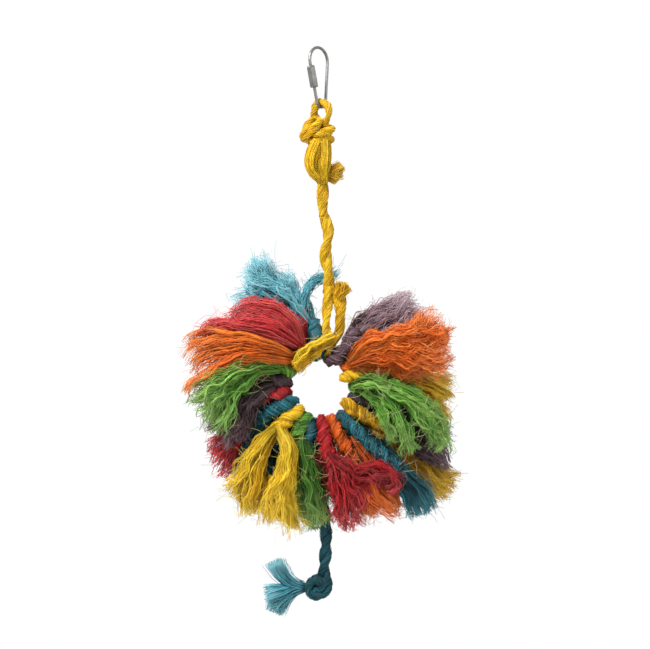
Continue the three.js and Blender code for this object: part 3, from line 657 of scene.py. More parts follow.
tuft_bundles = []
for lock in TUFT_LOCKS:
    placed = moved(lock, DROP_KNOT)
    tuft_bundles.append(frayed_lock(placed, 320, crimp=0.2, curl=0.3, chance=knot_chance, shade=-0.1,
                                    rings=13, clump=3))
drop_tuft = make_piece("drop_tuft_frayed", tuft_bundles, DYES["pale_teal"])
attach(drop_tuft, "drop")
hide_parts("drop_tuft")
print("drop rope from ring to knot:", round(line_length(drop_line)), "mm")

# %% [markdown]
# ## Steel
#
# The quick link is bent from plated steel wire, and its barrel nut is turned from hexagonal bar. Their
# solids already have the right shape, so they only get a finish: grey metal with long faint drawing
# marks and a dull bloom where hands have held it. The ring's core is wire of the same kind.

# %% Steel link, nut and ring core
def plated_steel(name, base, dull):
    finish, tree, shader = new_finish(name)
    shader.inputs["Metallic"].default_value = 1
    where = add_node(tree, "TexCoord")
    stretch = add_node(tree, "Mapping", Scale=(900, 900, 60))
    join(tree, where, "Object", stretch, "Vector")
    drawn = add_node(tree, "TexNoise", Scale=1, Detail=4)
    join(tree, stretch, "Vector", drawn, "Vector")
    bloom = add_node(tree, "TexNoise", Scale=220, Detail=5)
    join(tree, where, "Object", bloom, "Vector")
    tint = colour_ramp(tree, [(0.3, dull), (0.62, base)])
    join(tree, bloom, "Fac", tint, "Fac")
    join(tree, tint, "Color", shader, "Base Color")
    rough = add_node(tree, "MapRange", To_Min=0.36, To_Max=0.5)
    join(tree, drawn, "Fac", rough, "Value")
    join(tree, rough, "Result", shader, "Roughness")
    marks = add_node(tree, "Bump", Strength=0.03, Distance=0.00005)
    join(tree, drawn, "Fac", marks, "Height")
    join(tree, marks, "Normal", shader, "Normal")
    return finish


link_steel = plated_steel("link_steel", colour(128, 128, 126), colour(104, 103, 100))
core_steel = plated_steel("core_wire", colour(140, 138, 132), colour(92, 88, 82))
for node, finish in (("link_wire", link_steel), ("link_nut", link_steel), ("core_ring", core_steel)):
    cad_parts[node].data.materials.clear()
    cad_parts[node].data.materials.append(finish)
    print(node, "finished in", finish.name)

# %% [markdown]
# ## Eye of the hanger
#
# The yellow rope passes through the link's narrow end and is pulled thin there. The eye lies in a
# slanted plane, square to the link's wire. One half of its route is drawn and the other half is its
# mirror image, but the rope is thicker on that side.

# %% Hanger eye
FOOT = np.array([2.546, 0, -41.622])
EYE_SLANT = math.radians(48)
EYE_ACROSS = np.array([-math.sin(EYE_SLANT), math.cos(EYE_SLANT), 0])
EYE_HALF = [(3.4, -14), (5, -9), (6.9, -5.6), (5.7, 0.9)]
UP = np.array([0, 0, 1])
eye_points = [FOOT - across * EYE_ACROSS + height * UP for across, height in EYE_HALF]
eye_points.append(FOOT + 4 * UP)
eye_points += [FOOT + across * EYE_ACROSS + height * UP for across, height in EYE_HALF[::-1]]
hanger_chance = np.random.default_rng(8)
EYE_THICK = [5, 5, 5.2, 5.4, 5.6, 6, 6.8, 6.8, 6.4]
eye_points = [(*spot, thick) for spot, thick in zip(eye_points, EYE_THICK)]
eye_bundles = rope(eye_points, KNOT_LAY, 48, KNOT_FIBRES, hanger_chance, turn=0.5)
hanger_eye = make_piece("hanger_eye_rope", eye_bundles, DYES["yellow"])

# %% [markdown]
# Below the eye both strands are tied in a fat overhand knot. Four turns of rope are seen: two that slant
# down to the left, one round the right side and one across the bottom. Each is drawn as a rope of its
# own, and where they press together they pass into each other a little, as soft rope does.

# %% Hanger knot
KNOT = np.array([0.346, 0, -59.922])
HANGER_LAY = 30
SLANT_TURN = [(-1, 4.5, 7), (1.6, 0, 8.4), (0.8, -4.4, 7), (-2.6, -6.4, 3.4), (-6.8, -6, -0.8),
              (-9, -3, -4.4), (-7, 2.4, -6), (-1, 5, -5)]
LEFT_TURN = [(-2, 4, 6.5), (-3.9, 0, 8.4), (-5, -3.4, 7.6), (-8, -4.6, 4.4), (-10.4, -3, 0.4),
             (-10.6, 0.6, -3.4), (-7, 4, -5), (-1, 5, -4)]
RIGHT_TURN = [(1, 4.5, 5.5), (6.6, 4, 4.6), (9.2, 0, 2.4), (7.8, -4.4, 0.6), (3, -5.8, -0.6),
              (-1.5, -4.4, -2), (-3, 0, -3)]
LOW_TURN = [(-4, 3.6, -4), (-4.4, -2.6, -5.6), (0, -5.6, -5.6), (5, -4.8, -5), (8.6, -1, -4.6),
            (6.6, 3.6, -5), (1, 4.4, -6)]
hanger_turns = [(SLANT_TURN, 5.8), (LEFT_TURN, 5.8), (RIGHT_TURN, 6.4), (LOW_TURN, 6)]
tied = tied_knot(hanger_turns, KNOT, HANGER_LAY, hanger_chance)
hanger_knot = make_piece("hanger_knot_tied", tied, DYES["yellow"])

# %% [markdown]
# The rope's loose tail has come untwisted. It swells in front of the run, narrows below, turns behind the
# run and frays out to the right. The swell is two locks of fine straight fibre and the frayed end three.

# %% Hanger tail
TAIL_TOP = np.array([0.346, 0, -69.222])
TAIL_BULGE = [
    [(0, -1, 4, 4.4), (-2.6, -1.6, -2, 5.2), (-4.6, -1.6, -8, 5), (-5, -1.4, -14, 4.6),
     (-3.4, -1, -19, 3.8), (0.6, -0.4, -23.4, 2.6), (3.2, 0, -28, 1.6)],
    [(4.4, -1, 4, 4), (4.6, -1.6, -3, 4.4), (4.2, -1.8, -10, 4.6), (3.6, -1.4, -17, 4.2),
     (3.4, -0.6, -23, 3.2), (3.4, 0, -28, 2)],
]
TAIL_FAN = [
    [(4, 2, -19, 2.6), (8.5, 2, -18.6, 3), (13, 1.4, -16.6, 3.2), (17.4, 1, -13, 2.2)],
    [(4, 2, -20, 2.6), (8.5, 2, -20, 3), (13, 1.6, -19.6, 3), (17.8, 1.4, -18.4, 2.4)],
    [(4, 2, -21, 2.4), (8, 2, -22, 2.8), (11.4, 1.8, -23.4, 2.6), (14, 1.6, -25.4, 1.8)],
]
tail_bundles = []
for lock in TAIL_BULGE:
    placed = moved(lock, TAIL_TOP)
    bulge = frayed_lock(placed, 640, crimp=0.15, curl=0.2, chance=hanger_chance, shade=0.08, rings=11,
                        clump=1, fibre_radius=0.2, varied=0.09, fuzz=0.35)
    tail_bundles.append(evenly_dyed_no_root_shade(bulge))
    tail_bundles.append(painted_shade_core(placed, hanger_chance, shade=0.15))
    tail_bundles.append(stray_hairs(placed, count=2, reach=9, chance=hanger_chance))
for lock in TAIL_FAN:
    placed = moved(lock, TAIL_TOP)
    tail_bundles.append(frayed_lock(placed, 150, crimp=0.2, curl=0.3, chance=hanger_chance, shade=-0.22,
                                    rings=11, clump=3))
hanger_tail = make_piece("hanger_tail_frayed", tail_bundles, DYES["yellow"])
hanger_pieces = {"hanger_eye": hanger_eye, "hanger_knot": hanger_knot, "hanger_tail": hanger_tail}
for node, piece in hanger_pieces.items():
    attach(piece, "hanger_top")
    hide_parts(node)

# %% [markdown]
# ## The lower hitch
#
# The rope ends in a hitch on the ring: one leg goes down in front, round the ring's core and up behind,
# and the end is tucked back through the rope. The fat, loosened leg and its frayed end stand at the
# right. One rope drawn with a changing thickness makes both legs.

# %% Hitch on the ring
HITCH = np.array([7.846, 0, -167.522])
LEGS = [(-0.4, -0.6, -2, 7.4), (-0.8, -0.8, -9, 7.4), (-1.2, -0.8, -16.5, 7.2), (-2, -1.4, -26, 6.6),
        (-1.4, -4, -37, 6.6), (0, -5.25, -48.2, 6.6), (-0.9, -3.2, -52.2, 6.6), (-1.2, 0, -53.3, 6.6),
        (-0.9, 3.2, -52.2, 6.6), (0, 5.25, -48.2, 6.6), (4.3, 3, -40.3, 6), (7.6, 1.4, -33, 6.4),
        (8, 0.4, -26.5, 7.4), (8.1, -0.4, -20, 9), (7.5, -0.4, -13, 9.4), (6.2, 0.4, -7.6, 8),
        (3, 2.6, -3.6, 6)]
hitch_chance = np.random.default_rng(9)
hitch_bundles = rope(moved(LEGS, HITCH), lay=44, steps=76, fibres=28, chance=hitch_chance, turn=0.8)
hanger_hitch = make_piece("hanger_hitch_tied", hitch_bundles, DYES["yellow"])

# %% [markdown]
# The fat leg's end stands up beside the rope as two small fans of loose fibre. They are short, so a few
# fibres and hairs are enough.

# %% Frayed tail of the hitch
HITCH_FAN = [
    [(6, -0.6, -11, 3.2), (7.4, -1, -6, 4.4), (8.2, -1, -1.5, 4.6), (8.4, -1, 2.2, 3)],
    [(6.4, -0.2, -10, 3), (9.4, -0.6, -6.4, 3.6), (12, -0.6, -3.6, 3), (14.4, -0.6, -1.8, 1.6)],
]
fan_bundles = []
for lock in HITCH_FAN:
    placed = moved(lock, HITCH)
    fan = frayed_lock(placed, 130, crimp=0.25, curl=0.4, chance=hitch_chance, shade=-0.04, rings=11)
    fan_bundles.append(evenly_dyed_no_root_shade(fan))
    fan_bundles.append(stray_hairs(placed, count=4, reach=12, chance=hitch_chance))
hitch_tail = make_piece("hitch_tail_frayed", fan_bundles, DYES["yellow"])
for piece, node in ((hanger_hitch, "hanger_hitch"), (hitch_tail, "hitch_tail")):
    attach(piece, "hitch")
    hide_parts(node)

# %% [markdown]
# The last of the yellow rope is unravelled and lies over the loops at the ring's upper left. It is two
# curly locks with many stray hairs. One end is held by the hitch and the other lies on the ring.

# %% Frayed end on the ring
END_LOCKS = [
    [(12, -9.4, -205, 3), (5, -11.4, -208, 3), (-3, -12.2, -212.4, 3.2), (-10.4, -12.4, -218.6, 4),
     (-15.6, -12, -223.6, 4), (-20, -11.6, -227.6, 2.6)],
    [(12, -9.4, -206.5, 3), (5.4, -11, -210.4, 3), (-1.6, -11.8, -214.8, 3), (-8.2, -12, -221.8, 3.4),
     (-13.2, -11.6, -227, 3), (-16.6, -11.4, -230.4, 2)],
]
end_bundles = []
for lock in END_LOCKS:
    frayed = frayed_lock(lock, 90, crimp=0.7, curl=1.4, chance=hitch_chance, shade=0.08, rings=19, clump=5)
    end_bundles.append(evenly_dyed_no_root_shade(frayed))
    end_bundles.append(stray_hairs(lock, count=16, reach=15, chance=hitch_chance))
hanger_end = make_piece("hanger_end_frayed", end_bundles, DYES["yellow"])
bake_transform(hanger_end)
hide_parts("hanger_end")

# %% [markdown]
# ## Rope loops on the ring
#
# Each tassel is a short rope folded in half and pulled tight over the ring's core. From the front it
# shows as a bead of twisted rope beside the hole. The loop is drawn in the plane through the ring's
# middle: out in front, round the inside of the core and out again behind. A tube inside it, dark with
# painted shade, closes the gaps between its plies.

# %% Loops
RING = np.array([1.48, 0, -243.297])
LOOP_FRONT = [(50, -2, 9), (43, -2.8, 10), (37, -4, 10), (31.5, -5, 9.8), (28.6, -5.2, 10),
              (26.2, -3.6, 10.4)]
LOOP_INSIDE = [(25, 0, 10.4)]
LOOP_BACK = [(radius, -depth, thick) for radius, depth, thick in LOOP_FRONT[::-1]]
LOOP_LAY = 20
LOOP_FIBRES = 20
GAP_CLOSER = 0.42
FIRST_ANGLE = 77
ANGLE_STEP = 18


def place_angle(place):
    return math.radians(FIRST_ANGLE - ANGLE_STEP * place)


def ring_spot(radius, angle, depth):
    return RING + np.array([radius * math.cos(angle), depth, radius * math.sin(angle)])


def rope_loop(place, chance, shade):
    angle = place_angle(place)
    section = LOOP_FRONT + LOOP_INSIDE + LOOP_BACK
    points = [(*ring_spot(radius, angle, depth), thick) for radius, depth, thick in section]
    inside = smooth_line(points, 20)
    thick = GAP_CLOSER * inside[None, :, 3]
    # painted shade: the tube inside the loop is dark, where the gaps between plies would be in shade
    core = lay_fibres(inside[None, :, :3], thick, np.array([0.1]), sides=TUBE_SIDES)
    turn = chance.uniform(0, math.pi)
    return rope(points, LOOP_LAY, KNOT_STEPS, LOOP_FIBRES, chance, turn, shade) + [core]


DROP_PLACE = 10
drop_chance = np.random.default_rng(10)
drop_hitch = make_piece("drop_loop_rope", rope_loop(DROP_PLACE, drop_chance, -0.15), DYES["teal"])
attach(drop_hitch, "ring")

# %% [markdown]
# ## The tassels
#
# Eighteen tassels stand round the ring. Each has its own locks, drawn from the front: a point is how far
# right, how deep (the front is minus), how high, and how wide the lock is there to each side. Tassels
# in front lie over those behind, as they do on the toy. A tassel with a rope shows its twist for some
# way before it frays. Copies of one tassel would be quicker, but no two on the toy are alike. The first
# four stand at the upper right.

# %% Tassels at the upper right
# Each tassel's shade is partly its dye, partly painted shade: tassels low on the ring are mostly set darker.
TASSELS = {
    "tassel_01_purple": dict(place=1, dye="lilac", shade=0.1, crimp=0.8, curl=1.8, clump=3, locks=[
        [(19.3, 8, -216.3, 3.6), (27.1, 13, -204.9, 6.4), (41.4, 16, -193.5, 8.6),
         (61.4, 16, -182.1, 7.1), (72.8, 14, -177.8, 4.3)],
        [(19.3, 8, -217.1, 3.6), (30, 11, -207.8, 6.4), (47.1, 14, -199.2, 7.9),
         (67.1, 14, -191.4, 7.1), (80, 12, -189.2, 3.6)],
        [(18.6, 8, -214.9, 2.9), (24.3, 15, -203.5, 5), (32.8, 18, -192.8, 5.7),
         (44.3, 18, -186.4, 5.7), (60, 16, -177.1, 3.6)],
        [(22.8, 4, -212.1, 4.3), (35.7, 6, -203.5, 6.4), (52.8, 8, -193.5, 7.1), (71.4, 8, -183.5, 5)],
    ], rope=[(5.7, -6, -224.2, 7.1), (13.6, -8, -218.5, 10), (22.1, -7, -212.1, 10),
             (30.7, -2, -206.3, 7.9)]),
    "tassel_02_orange": dict(place=2, dye="orange", shade=0, crimp=1.2, curl=1.8, clump=4, locks=[
        [(21.4, -8, -224.9, 2.9), (31.4, -12, -216.3, 5.7), (45.7, -15, -210.6, 7.1),
         (64.3, -16, -204.9, 7.9), (81.4, -13, -194.2, 6.4), (87.8, -11, -188.5, 2.9)],
        [(21.4, -8, -225.6, 2.9), (34.3, -13, -219.2, 5.7), (51.4, -17, -215.6, 7.9),
         (71.4, -18, -214.9, 8.6), (87.1, -16, -214.9, 8.6), (97.1, -13, -214.2, 6.4)],
        [(22.1, -8, -226.3, 2.9), (35.7, -11, -222.8, 5.7), (52.8, -13, -222.8, 7.1),
         (72.8, -14, -225.6, 7.9), (97.1, -10, -226.3, 6.4)],
        [(22.1, -9, -223.5, 2.1), (30, -14, -213.5, 4.3), (41.4, -18, -207.1, 5),
         (57.1, -19, -204.2, 5), (71.4, -16, -196.3, 4.3), (77.1, -12, -187.8, 2.1)],
        [(22.8, -8, -227.1, 2.1), (40, -9, -226.3, 4.3), (57.1, -9, -229.2, 5),
         (76.4, -8, -234.9, 4.3)],
        [(62.1, -20, -206.3, 4.3), (76.4, -20, -204.9, 5.7), (88.5, -16, -204.2, 5),
         (90.7, -14, -196.3, 2.9)],
    ]),
    "tassel_03_yellow": dict(place=3, dye="yellow", shade=-0.06, crimp=0.4, curl=1, clump=3, locks=[
        [(24.3, 5, -232, 3.6), (42.1, 7, -229.2, 5.7), (60, 9, -234.9, 7.1), (80, 11, -242, 8.6),
         (98.5, 11, -247, 5.7)],
        [(30, 7, -230.6, 3.6), (45.7, 12, -232, 6.4), (61.4, 15, -240.6, 7.9), (80, 16, -254.2, 8.6),
         (95.7, 14, -263.5, 5.7)],
        [(31.4, 8, -229.2, 2.9), (47.1, 14, -227.8, 5.7), (65.7, 16, -230.6, 6.4),
         (84.3, 16, -235.6, 6.4), (100.7, 14, -238.5, 3.6)],
        [(44.3, 3, -230.6, 3.6), (62.8, 2, -236.3, 5.7), (81.4, 2, -243.5, 6.4), (97.1, 4, -252, 4.3)],
        [(47.1, 6, -234.9, 4.3), (64.3, 8, -244.9, 7.1), (81.4, 9, -257.8, 7.9), (95, 8, -268.5, 5)],
    ], rope=[(15.7, -6, -234.9, 7.1), (22.8, -7, -233.5, 8.6), (31.4, -5, -233.5, 8.6),
             (41.4, 0, -232.8, 7.9)]),
    "tassel_04_green": dict(place=4, dye="green", shade=0.12, crimp=1.2, curl=2, locks=[
        [(24.3, -7, -240.6, 3.6), (41.4, -12, -240.6, 5), (57.1, -17, -247, 5), (70, -19, -259.2, 5),
         (79.3, -16, -272, 5), (85, -13, -281.3, 3.6)],
        [(25, -7, -241.3, 3.6), (40, -13, -244.9, 5), (52.1, -18, -253.5, 4.3),
         (59.3, -20, -267.8, 3.9), (63.5, -18, -282, 3.6), (67.8, -15, -291.3, 2.9)],
        [(24.3, -7, -239.9, 3.6), (44.3, -11, -239.2, 5), (64.3, -15, -245.6, 5.7),
         (78.5, -15, -256.3, 5.7), (89.2, -12, -267.8, 5), (92.8, -10, -274.9, 2.9)],
        [(27.1, -7, -242, 2.9), (38.6, -12, -249.2, 4.3), (46.4, -15, -260.6, 3.6),
         (51.4, -15, -273.5, 2.9), (54.3, -14, -283.5, 2.1)],
        [(27.1, -10, -238.5, 3.6), (35.7, -16, -236.3, 3.9), (44.3, -18, -239.2, 3.6),
         (52.8, -18, -243.5, 2.9)],
        [(58.5, -19, -248.5, 3.6), (71.4, -21, -257.8, 4.6), (81.4, -19, -269.2, 5),
         (87.8, -16, -279.2, 3.6), (87.1, -13, -289.2, 2.9)],
    ]),
}
print(len(TASSELS), "tassels drawn")

# %% [markdown]
# The next five are at the lower right. They hang by their own weight, so they are long and fairly
# straight. The teal one keeps its twist for most of its length.

# %% Tassels at the lower right
# These hang lowest; their low shades are partly their dyes, partly painted shade where less light falls.
TASSELS |= {
    "tassel_05_purple": dict(place=5, dye="purple", shade=-0.34, crimp=0.5, curl=1.2, clump=4, locks=[
        [(24.3, 5, -247.8, 3.6), (42.8, 8, -253.5, 6.4), (60, 12, -262, 7.9), (78.5, 14, -277.7, 8.6),
         (93.5, 12, -289.9, 5.7)],
        [(25.7, 6, -248.5, 3.6), (42.8, 10, -256.3, 6.4), (57.1, 13, -267.8, 7.1),
         (72.8, 14, -284.9, 7.1), (87.1, 12, -298.5, 5)],
        [(27.1, 7, -247, 2.9), (45.7, 13, -250.6, 5.7), (64.3, 15, -257.8, 6.4),
         (82.8, 16, -269.2, 6.4), (96.4, 12, -280.6, 3.6)],
        [(41.4, 2, -257.8, 3.6), (57.1, 3, -270.6, 6.4), (71.4, 4, -283.5, 7.1),
         (87.1, 6, -296.3, 5.7)],
        [(44.3, 8, -254.9, 4.3), (61.4, 9, -267.8, 7.1), (78.5, 8, -283.5, 7.9),
         (89.2, 6, -294.9, 6.4), (93.5, 5, -302.7, 4.3)],
    ]),
    "tassel_06_yellow": dict(place=6, dye="yellow", shade=-0.36, crimp=0.4, curl=1.2, clump=3, locks=[
        [(40, 6, -264.9, 3.6), (51.4, 12, -276.3, 7.1), (68.5, 16, -293.5, 8.6),
         (87.1, 15, -309.9, 8.6), (100.7, 13, -317, 5)],
        [(38.6, 7, -266.3, 3.6), (47.1, 14, -280.6, 6.4), (62.8, 17, -299.2, 7.9),
         (78.5, 16, -314.2, 7.9), (89.2, 14, -324.9, 5)],
        [(41.4, 6, -264.2, 2.9), (57.1, 12, -274.9, 5.7), (77.1, 14, -293.5, 5.7),
         (94.2, 13, -304.2, 4.3), (103.5, 12, -306.3, 2.1)],
        [(42.8, 3, -267.8, 3.6), (55.7, 5, -280.6, 6.4), (72.8, 7, -296.3, 7.1),
         (91.4, 8, -314.9, 6.4)],
        [(44.3, 4, -270.6, 4.3), (61.4, 8, -290.6, 7.1), (77.8, 9, -307.7, 8.6),
         (92.1, 9, -319.9, 6.4)],
        [(47.1, 10, -274.9, 5.7), (65.7, 13, -294.9, 8.6), (82.8, 13, -311.3, 8.6),
         (95.7, 11, -321.3, 5.7)],
        [(34.3, 8, -267.8, 4.3), (42.8, 10, -284.9, 7.1), (55.7, 11, -302, 8.6), (70, 11, -317.7, 6.4)],
    ], rope=[(16.8, -6, -251, 7.5), (22.8, -6.5, -254.2, 8.6), (31.4, -4, -259.9, 8.9),
             (41.4, 0, -266.3, 8.9), (50, 4, -274.2, 7.9)]),
    "tassel_07_teal": dict(place=7, dye="teal", shade=-0.34, crimp=0.3, curl=0.9, clump=5, locks=[
        [(47.1, -15, -290.6, 4.3), (55.7, -15, -300.6, 5.7), (65.7, -14, -312, 7.1),
         (73.5, -12, -325.6, 7.9), (75.7, -12, -332.7, 6.4)],
        [(48.6, -17, -293.5, 4.3), (55.7, -17, -303.4, 5), (62.8, -16, -316.3, 6.4),
         (68.5, -13, -329.9, 5.7), (70, -12, -334.9, 4.3)],
        [(51.4, -13, -292, 4.3), (60, -13, -302, 5), (71.4, -12, -312, 6.4), (80.7, -11, -323.4, 5),
         (83.5, -10, -327, 3.6)],
        [(24.3, 0, -269.2, 4.3), (35.7, -2, -279.2, 7.1), (48.6, -4, -293.5, 7.9),
         (61.4, -4, -309.2, 7.1), (70, -4, -322, 5.7)],
    ], rope=[(15.4, -6, -261.3, 7.1), (20.7, -8, -265.6, 9.3), (27.8, -11, -272, 9.6),
             (35.7, -14, -280.6, 9.3), (45, -17, -288.5, 10.4), (54.3, -17, -297.7, 10),
             (62.1, -15, -308.4, 9.3)]),
    "tassel_08_orange": dict(place=8, dye="orange", shade=-0.31, crimp=0.4, curl=1.2, clump=5, locks=[
        [(24.3, 4, -292, 4.3), (30, 9, -306.3, 7.1), (40, 12, -322, 9.3), (46.4, 12, -332.7, 7.1)],
        [(15.7, 5, -274.9, 4.3), (27.1, 8, -290.6, 7.1), (40, 9, -304.9, 8.6), (51.4, 10, -317.7, 7.1)],
        [(22.8, 6, -293.5, 3.6), (27.1, 12, -310.6, 6.4), (32.1, 13, -326.3, 7.1),
         (35.7, 12, -334.9, 5)],
        [(24.3, -2, -292, 3.6), (32.8, -8, -304.9, 5.7), (42.1, -16, -317.7, 7.9),
         (52.1, -16, -327.7, 6.4), (57.8, -13, -331.3, 3.6)],
        [(21.4, -2, -292, 3.6), (27.8, -8, -310.6, 5.7), (34.3, -13, -326.3, 6.4),
         (38.6, -13, -335.6, 4.3)],
        [(25.7, -3, -274.9, 3.6), (35.7, -5, -289.2, 5), (47.1, -7, -303.4, 5.7),
         (55.7, -9, -316.3, 6.4), (61.4, -9, -327, 4.3)],
    ], rope=[(7.9, -5, -261.3, 7.1), (11.4, -5, -269.2, 8.6), (16.4, -4, -277.7, 8.9),
             (22.1, -3, -287, 8.9), (27.8, -2, -297.7, 7.9)]),
    "tassel_09_red": dict(place=9, dye="red", shade=-0.26, crimp=0.8, curl=2, clump=6, locks=[
        [(9.3, -8, -287.7, 3.6), (13.6, -13, -300.6, 5.7), (18.6, -16, -314.9, 7.9),
         (22.8, -14, -333.4, 7.1), (26.4, -12, -344.1, 3.6)],
        [(9.3, -9, -289.2, 3.6), (18.6, -16, -296.3, 5.7), (28.6, -19, -302.7, 6.4),
         (41.4, -19, -303.4, 6.4), (52.1, -16, -306.3, 5)],
        [(8.6, -8, -289.2, 2.9), (11.4, -12, -303.4, 4.3), (15, -14, -320.6, 5.7),
         (17.8, -12, -339.1, 5)],
        [(9.3, -10, -290.6, 3.6), (20, -17, -302, 6.4), (27.1, -18, -314.9, 7.1),
         (31.4, -15, -330.6, 5.7)],
        [(27.1, -20, -300.6, 3.6), (38.6, -22, -297.7, 3.6), (49.3, -22, -299.9, 3.6),
         (53.5, -20, -308.4, 3.6), (48.6, -18, -315.6, 2.9)],
        [(2.9, 6, -273.5, 4.3), (7.1, 7, -290.6, 6.4), (11.4, 8, -309.2, 7.1), (16.4, 8, -327.7, 5.7)],
    ], rope=[(2.1, -6, -261.3, 7.1), (3.6, -8, -269.9, 8.9), (5, -10, -279.2, 9.3),
             (7.9, -11, -289.2, 10), (12.1, -12, -298.5, 9.3)]),
}
print(len(TASSELS), "tassels drawn")

# %% [markdown]
# Left of the drop rope hang four more. The yellow one lies in front of its neighbours and parts into
# nine locks.

# %% Tassels at the lower left
TASSELS |= {
    "tassel_11_green": dict(place=11, dye="green", shade=-0.22, crimp=0.6, curl=1.6, clump=5, locks=[
        [(-14.3, 4, -272, 3.6), (-12.9, 8, -290.6, 6.4), (-7.1, 11, -312, 7.9), (-3.6, 12, -332, 7.1),
         (-2.9, 11, -346.3, 3.6)],
        [(-12.9, 2, -272, 3.6), (-7.1, 3, -293.5, 5.7), (-2.1, 4, -314.9, 5.7), (1.4, 4, -334.9, 5),
         (2.9, 4, -342, 2.9)],
        [(-15.7, 7, -273.5, 3.6), (-15.7, 13, -294.9, 6.4), (-12.1, 16, -319.2, 7.9),
         (-9.3, 14, -339.9, 5.7)],
        [(-11.4, -5, -274.9, 2.9), (-7.1, -9, -294.9, 5), (-3.6, -10, -314.9, 5.7), (0, -9, -330.6, 5),
         (1.4, -8, -340.6, 2.9)],
        [(-12.9, -4, -274.9, 2.9), (-10.7, -8, -296.3, 5), (-7.1, -9, -320.6, 5.7),
         (-3.6, -7, -343.4, 3.6)],
        [(-8.6, 6, -273.5, 3.6), (-1.4, 8, -292, 5.7), (2.9, 9, -312, 5.7), (5, 8, -330.6, 5)],
    ], rope=[(-6.4, -5, -259.9, 7.1), (-10, -6, -266.3, 8.6), (-13.6, -5, -273.5, 8.6),
             (-15, -2, -281.3, 7.9)]),
    "tassel_12_yellow": dict(place=12, dye="yellow", shade=0.12, crimp=0.5, curl=1.5, clump=5, locks=[
        [(-28.6, -8, -269.9, 3.6), (-38.6, -14, -280.6, 5.7), (-47.8, -18, -296.3, 7.1),
         (-55, -18, -309.9, 7.1), (-60, -16, -319.2, 5.7)],
        [(-29.3, -8, -270.6, 3.6), (-40, -15, -286.3, 5.7), (-46.4, -19, -304.9, 7.1),
         (-50.7, -18, -322, 7.1), (-46.4, -16, -334.9, 5)],
        [(-27.1, -9, -270.6, 3.6), (-21.4, -17, -282, 5), (-22.8, -20, -296.3, 5.7),
         (-29.3, -20, -314.9, 7.1), (-30, -16, -338.4, 7.1)],
        [(-26.4, -8, -270.6, 3.6), (-19.3, -16, -284.9, 4.3), (-21.4, -20, -302, 5),
         (-25, -19, -322, 6.4), (-17.1, -15, -346.3, 6.4)],
        [(-27.8, -9, -271.3, 3.6), (-21.4, -18, -289.2, 4.3), (-25.7, -21, -307.7, 5.7),
         (-36.4, -19, -324.2, 7.1), (-40, -16, -334.9, 5.7)],
        [(-25.7, -8, -270.6, 2.9), (-17.8, -14, -284.9, 3.6), (-19.3, -17, -303.4, 3.6),
         (-20, -15, -322, 4.3), (-10.7, -12, -346.3, 2.9)],
        [(-30, -9, -270.6, 2.9), (-42.8, -17, -283.5, 5), (-52.8, -19, -300.6, 5.7),
         (-60, -18, -312, 5), (-63.5, -16, -315.6, 3.6)],
        [(-37.1, -14, -303.4, 4.3), (-35.7, -16, -314.9, 6.4), (-32.8, -16, -326.3, 7.1),
         (-30, -14, -337.7, 5.7)],
        [(-40, -10, -290.6, 4.3), (-44.3, -12, -304.9, 6.4), (-46.4, -12, -317.7, 7.1),
         (-42.8, -12, -332, 6.4)],
    ], rope=[(-10.7, -5, -255.6, 7.1), (-17.1, -7, -260.6, 9.3), (-24.3, -8, -267, 10),
             (-30, -9, -273.5, 10.7)]),
    "tassel_13_teal": dict(place=13, dye="teal", shade=-0.15, crimp=0.4, curl=1.2, clump=4, locks=[
        [(-34.3, 6, -259.2, 3.6), (-44.3, 11, -269.2, 5.7), (-50.7, 15, -283.5, 7.1),
         (-55, 16, -299.2, 7.1), (-57.8, 15, -309.2, 5)],
        [(-34.3, 7, -259.9, 3.6), (-41.4, 13, -274.9, 6.4), (-44.3, 17, -293.5, 7.1),
         (-47.1, 16, -314.2, 6.4)],
        [(-35.7, 6, -258.5, 3.6), (-50, 10, -270.6, 5.7), (-57.1, 12, -286.3, 6.4),
         (-62.1, 12, -300.6, 5)],
        [(-34.3, 3, -260.6, 3.6), (-35.7, 5, -279.2, 6.4), (-34.3, 6, -300.6, 8.6),
         (-35.7, 8, -319.9, 7.1)],
        [(-35.7, 2, -260.6, 3.6), (-44.3, 3, -273.5, 5.7), (-48.6, 4, -287.7, 6.4),
         (-51.4, 6, -303.4, 5.7)],
    ], rope=[(-14.3, -5, -250.3, 7.1), (-20, -6.5, -252, 9.3), (-27.8, -6, -255.6, 10),
             (-35.7, -4, -259.9, 10), (-42.1, 0, -265.6, 9.3)]),
    "tassel_14_red": dict(place=14, dye="red", shade=-0.12, crimp=0.8, curl=1.4, clump=4, locks=[
        [(-32.8, 4, -246.3, 3.6), (-50, 8, -256.3, 5.7), (-59.3, 10, -272, 7.1),
         (-69.3, 12, -289.9, 7.1), (-77.8, 10, -299.2, 5)],
        [(-32.8, 5, -247, 3.6), (-47.1, 10, -260.6, 5.7), (-55.7, 13, -280.6, 7.1),
         (-65, 12, -299.2, 7.1), (-68.5, 10, -309.9, 4.3)],
        [(-34.3, 5, -246.3, 2.9), (-52.8, 11, -256.3, 5), (-65.7, 13, -274.9, 6.4),
         (-79.3, 10, -289.9, 4.3)],
    ]),
}
print(len(TASSELS), "tassels drawn")

# %% [markdown]
# The last five stand at the upper left. Four are frayed down to the ring, and the pale teal one behind
# them has the thickest rope.

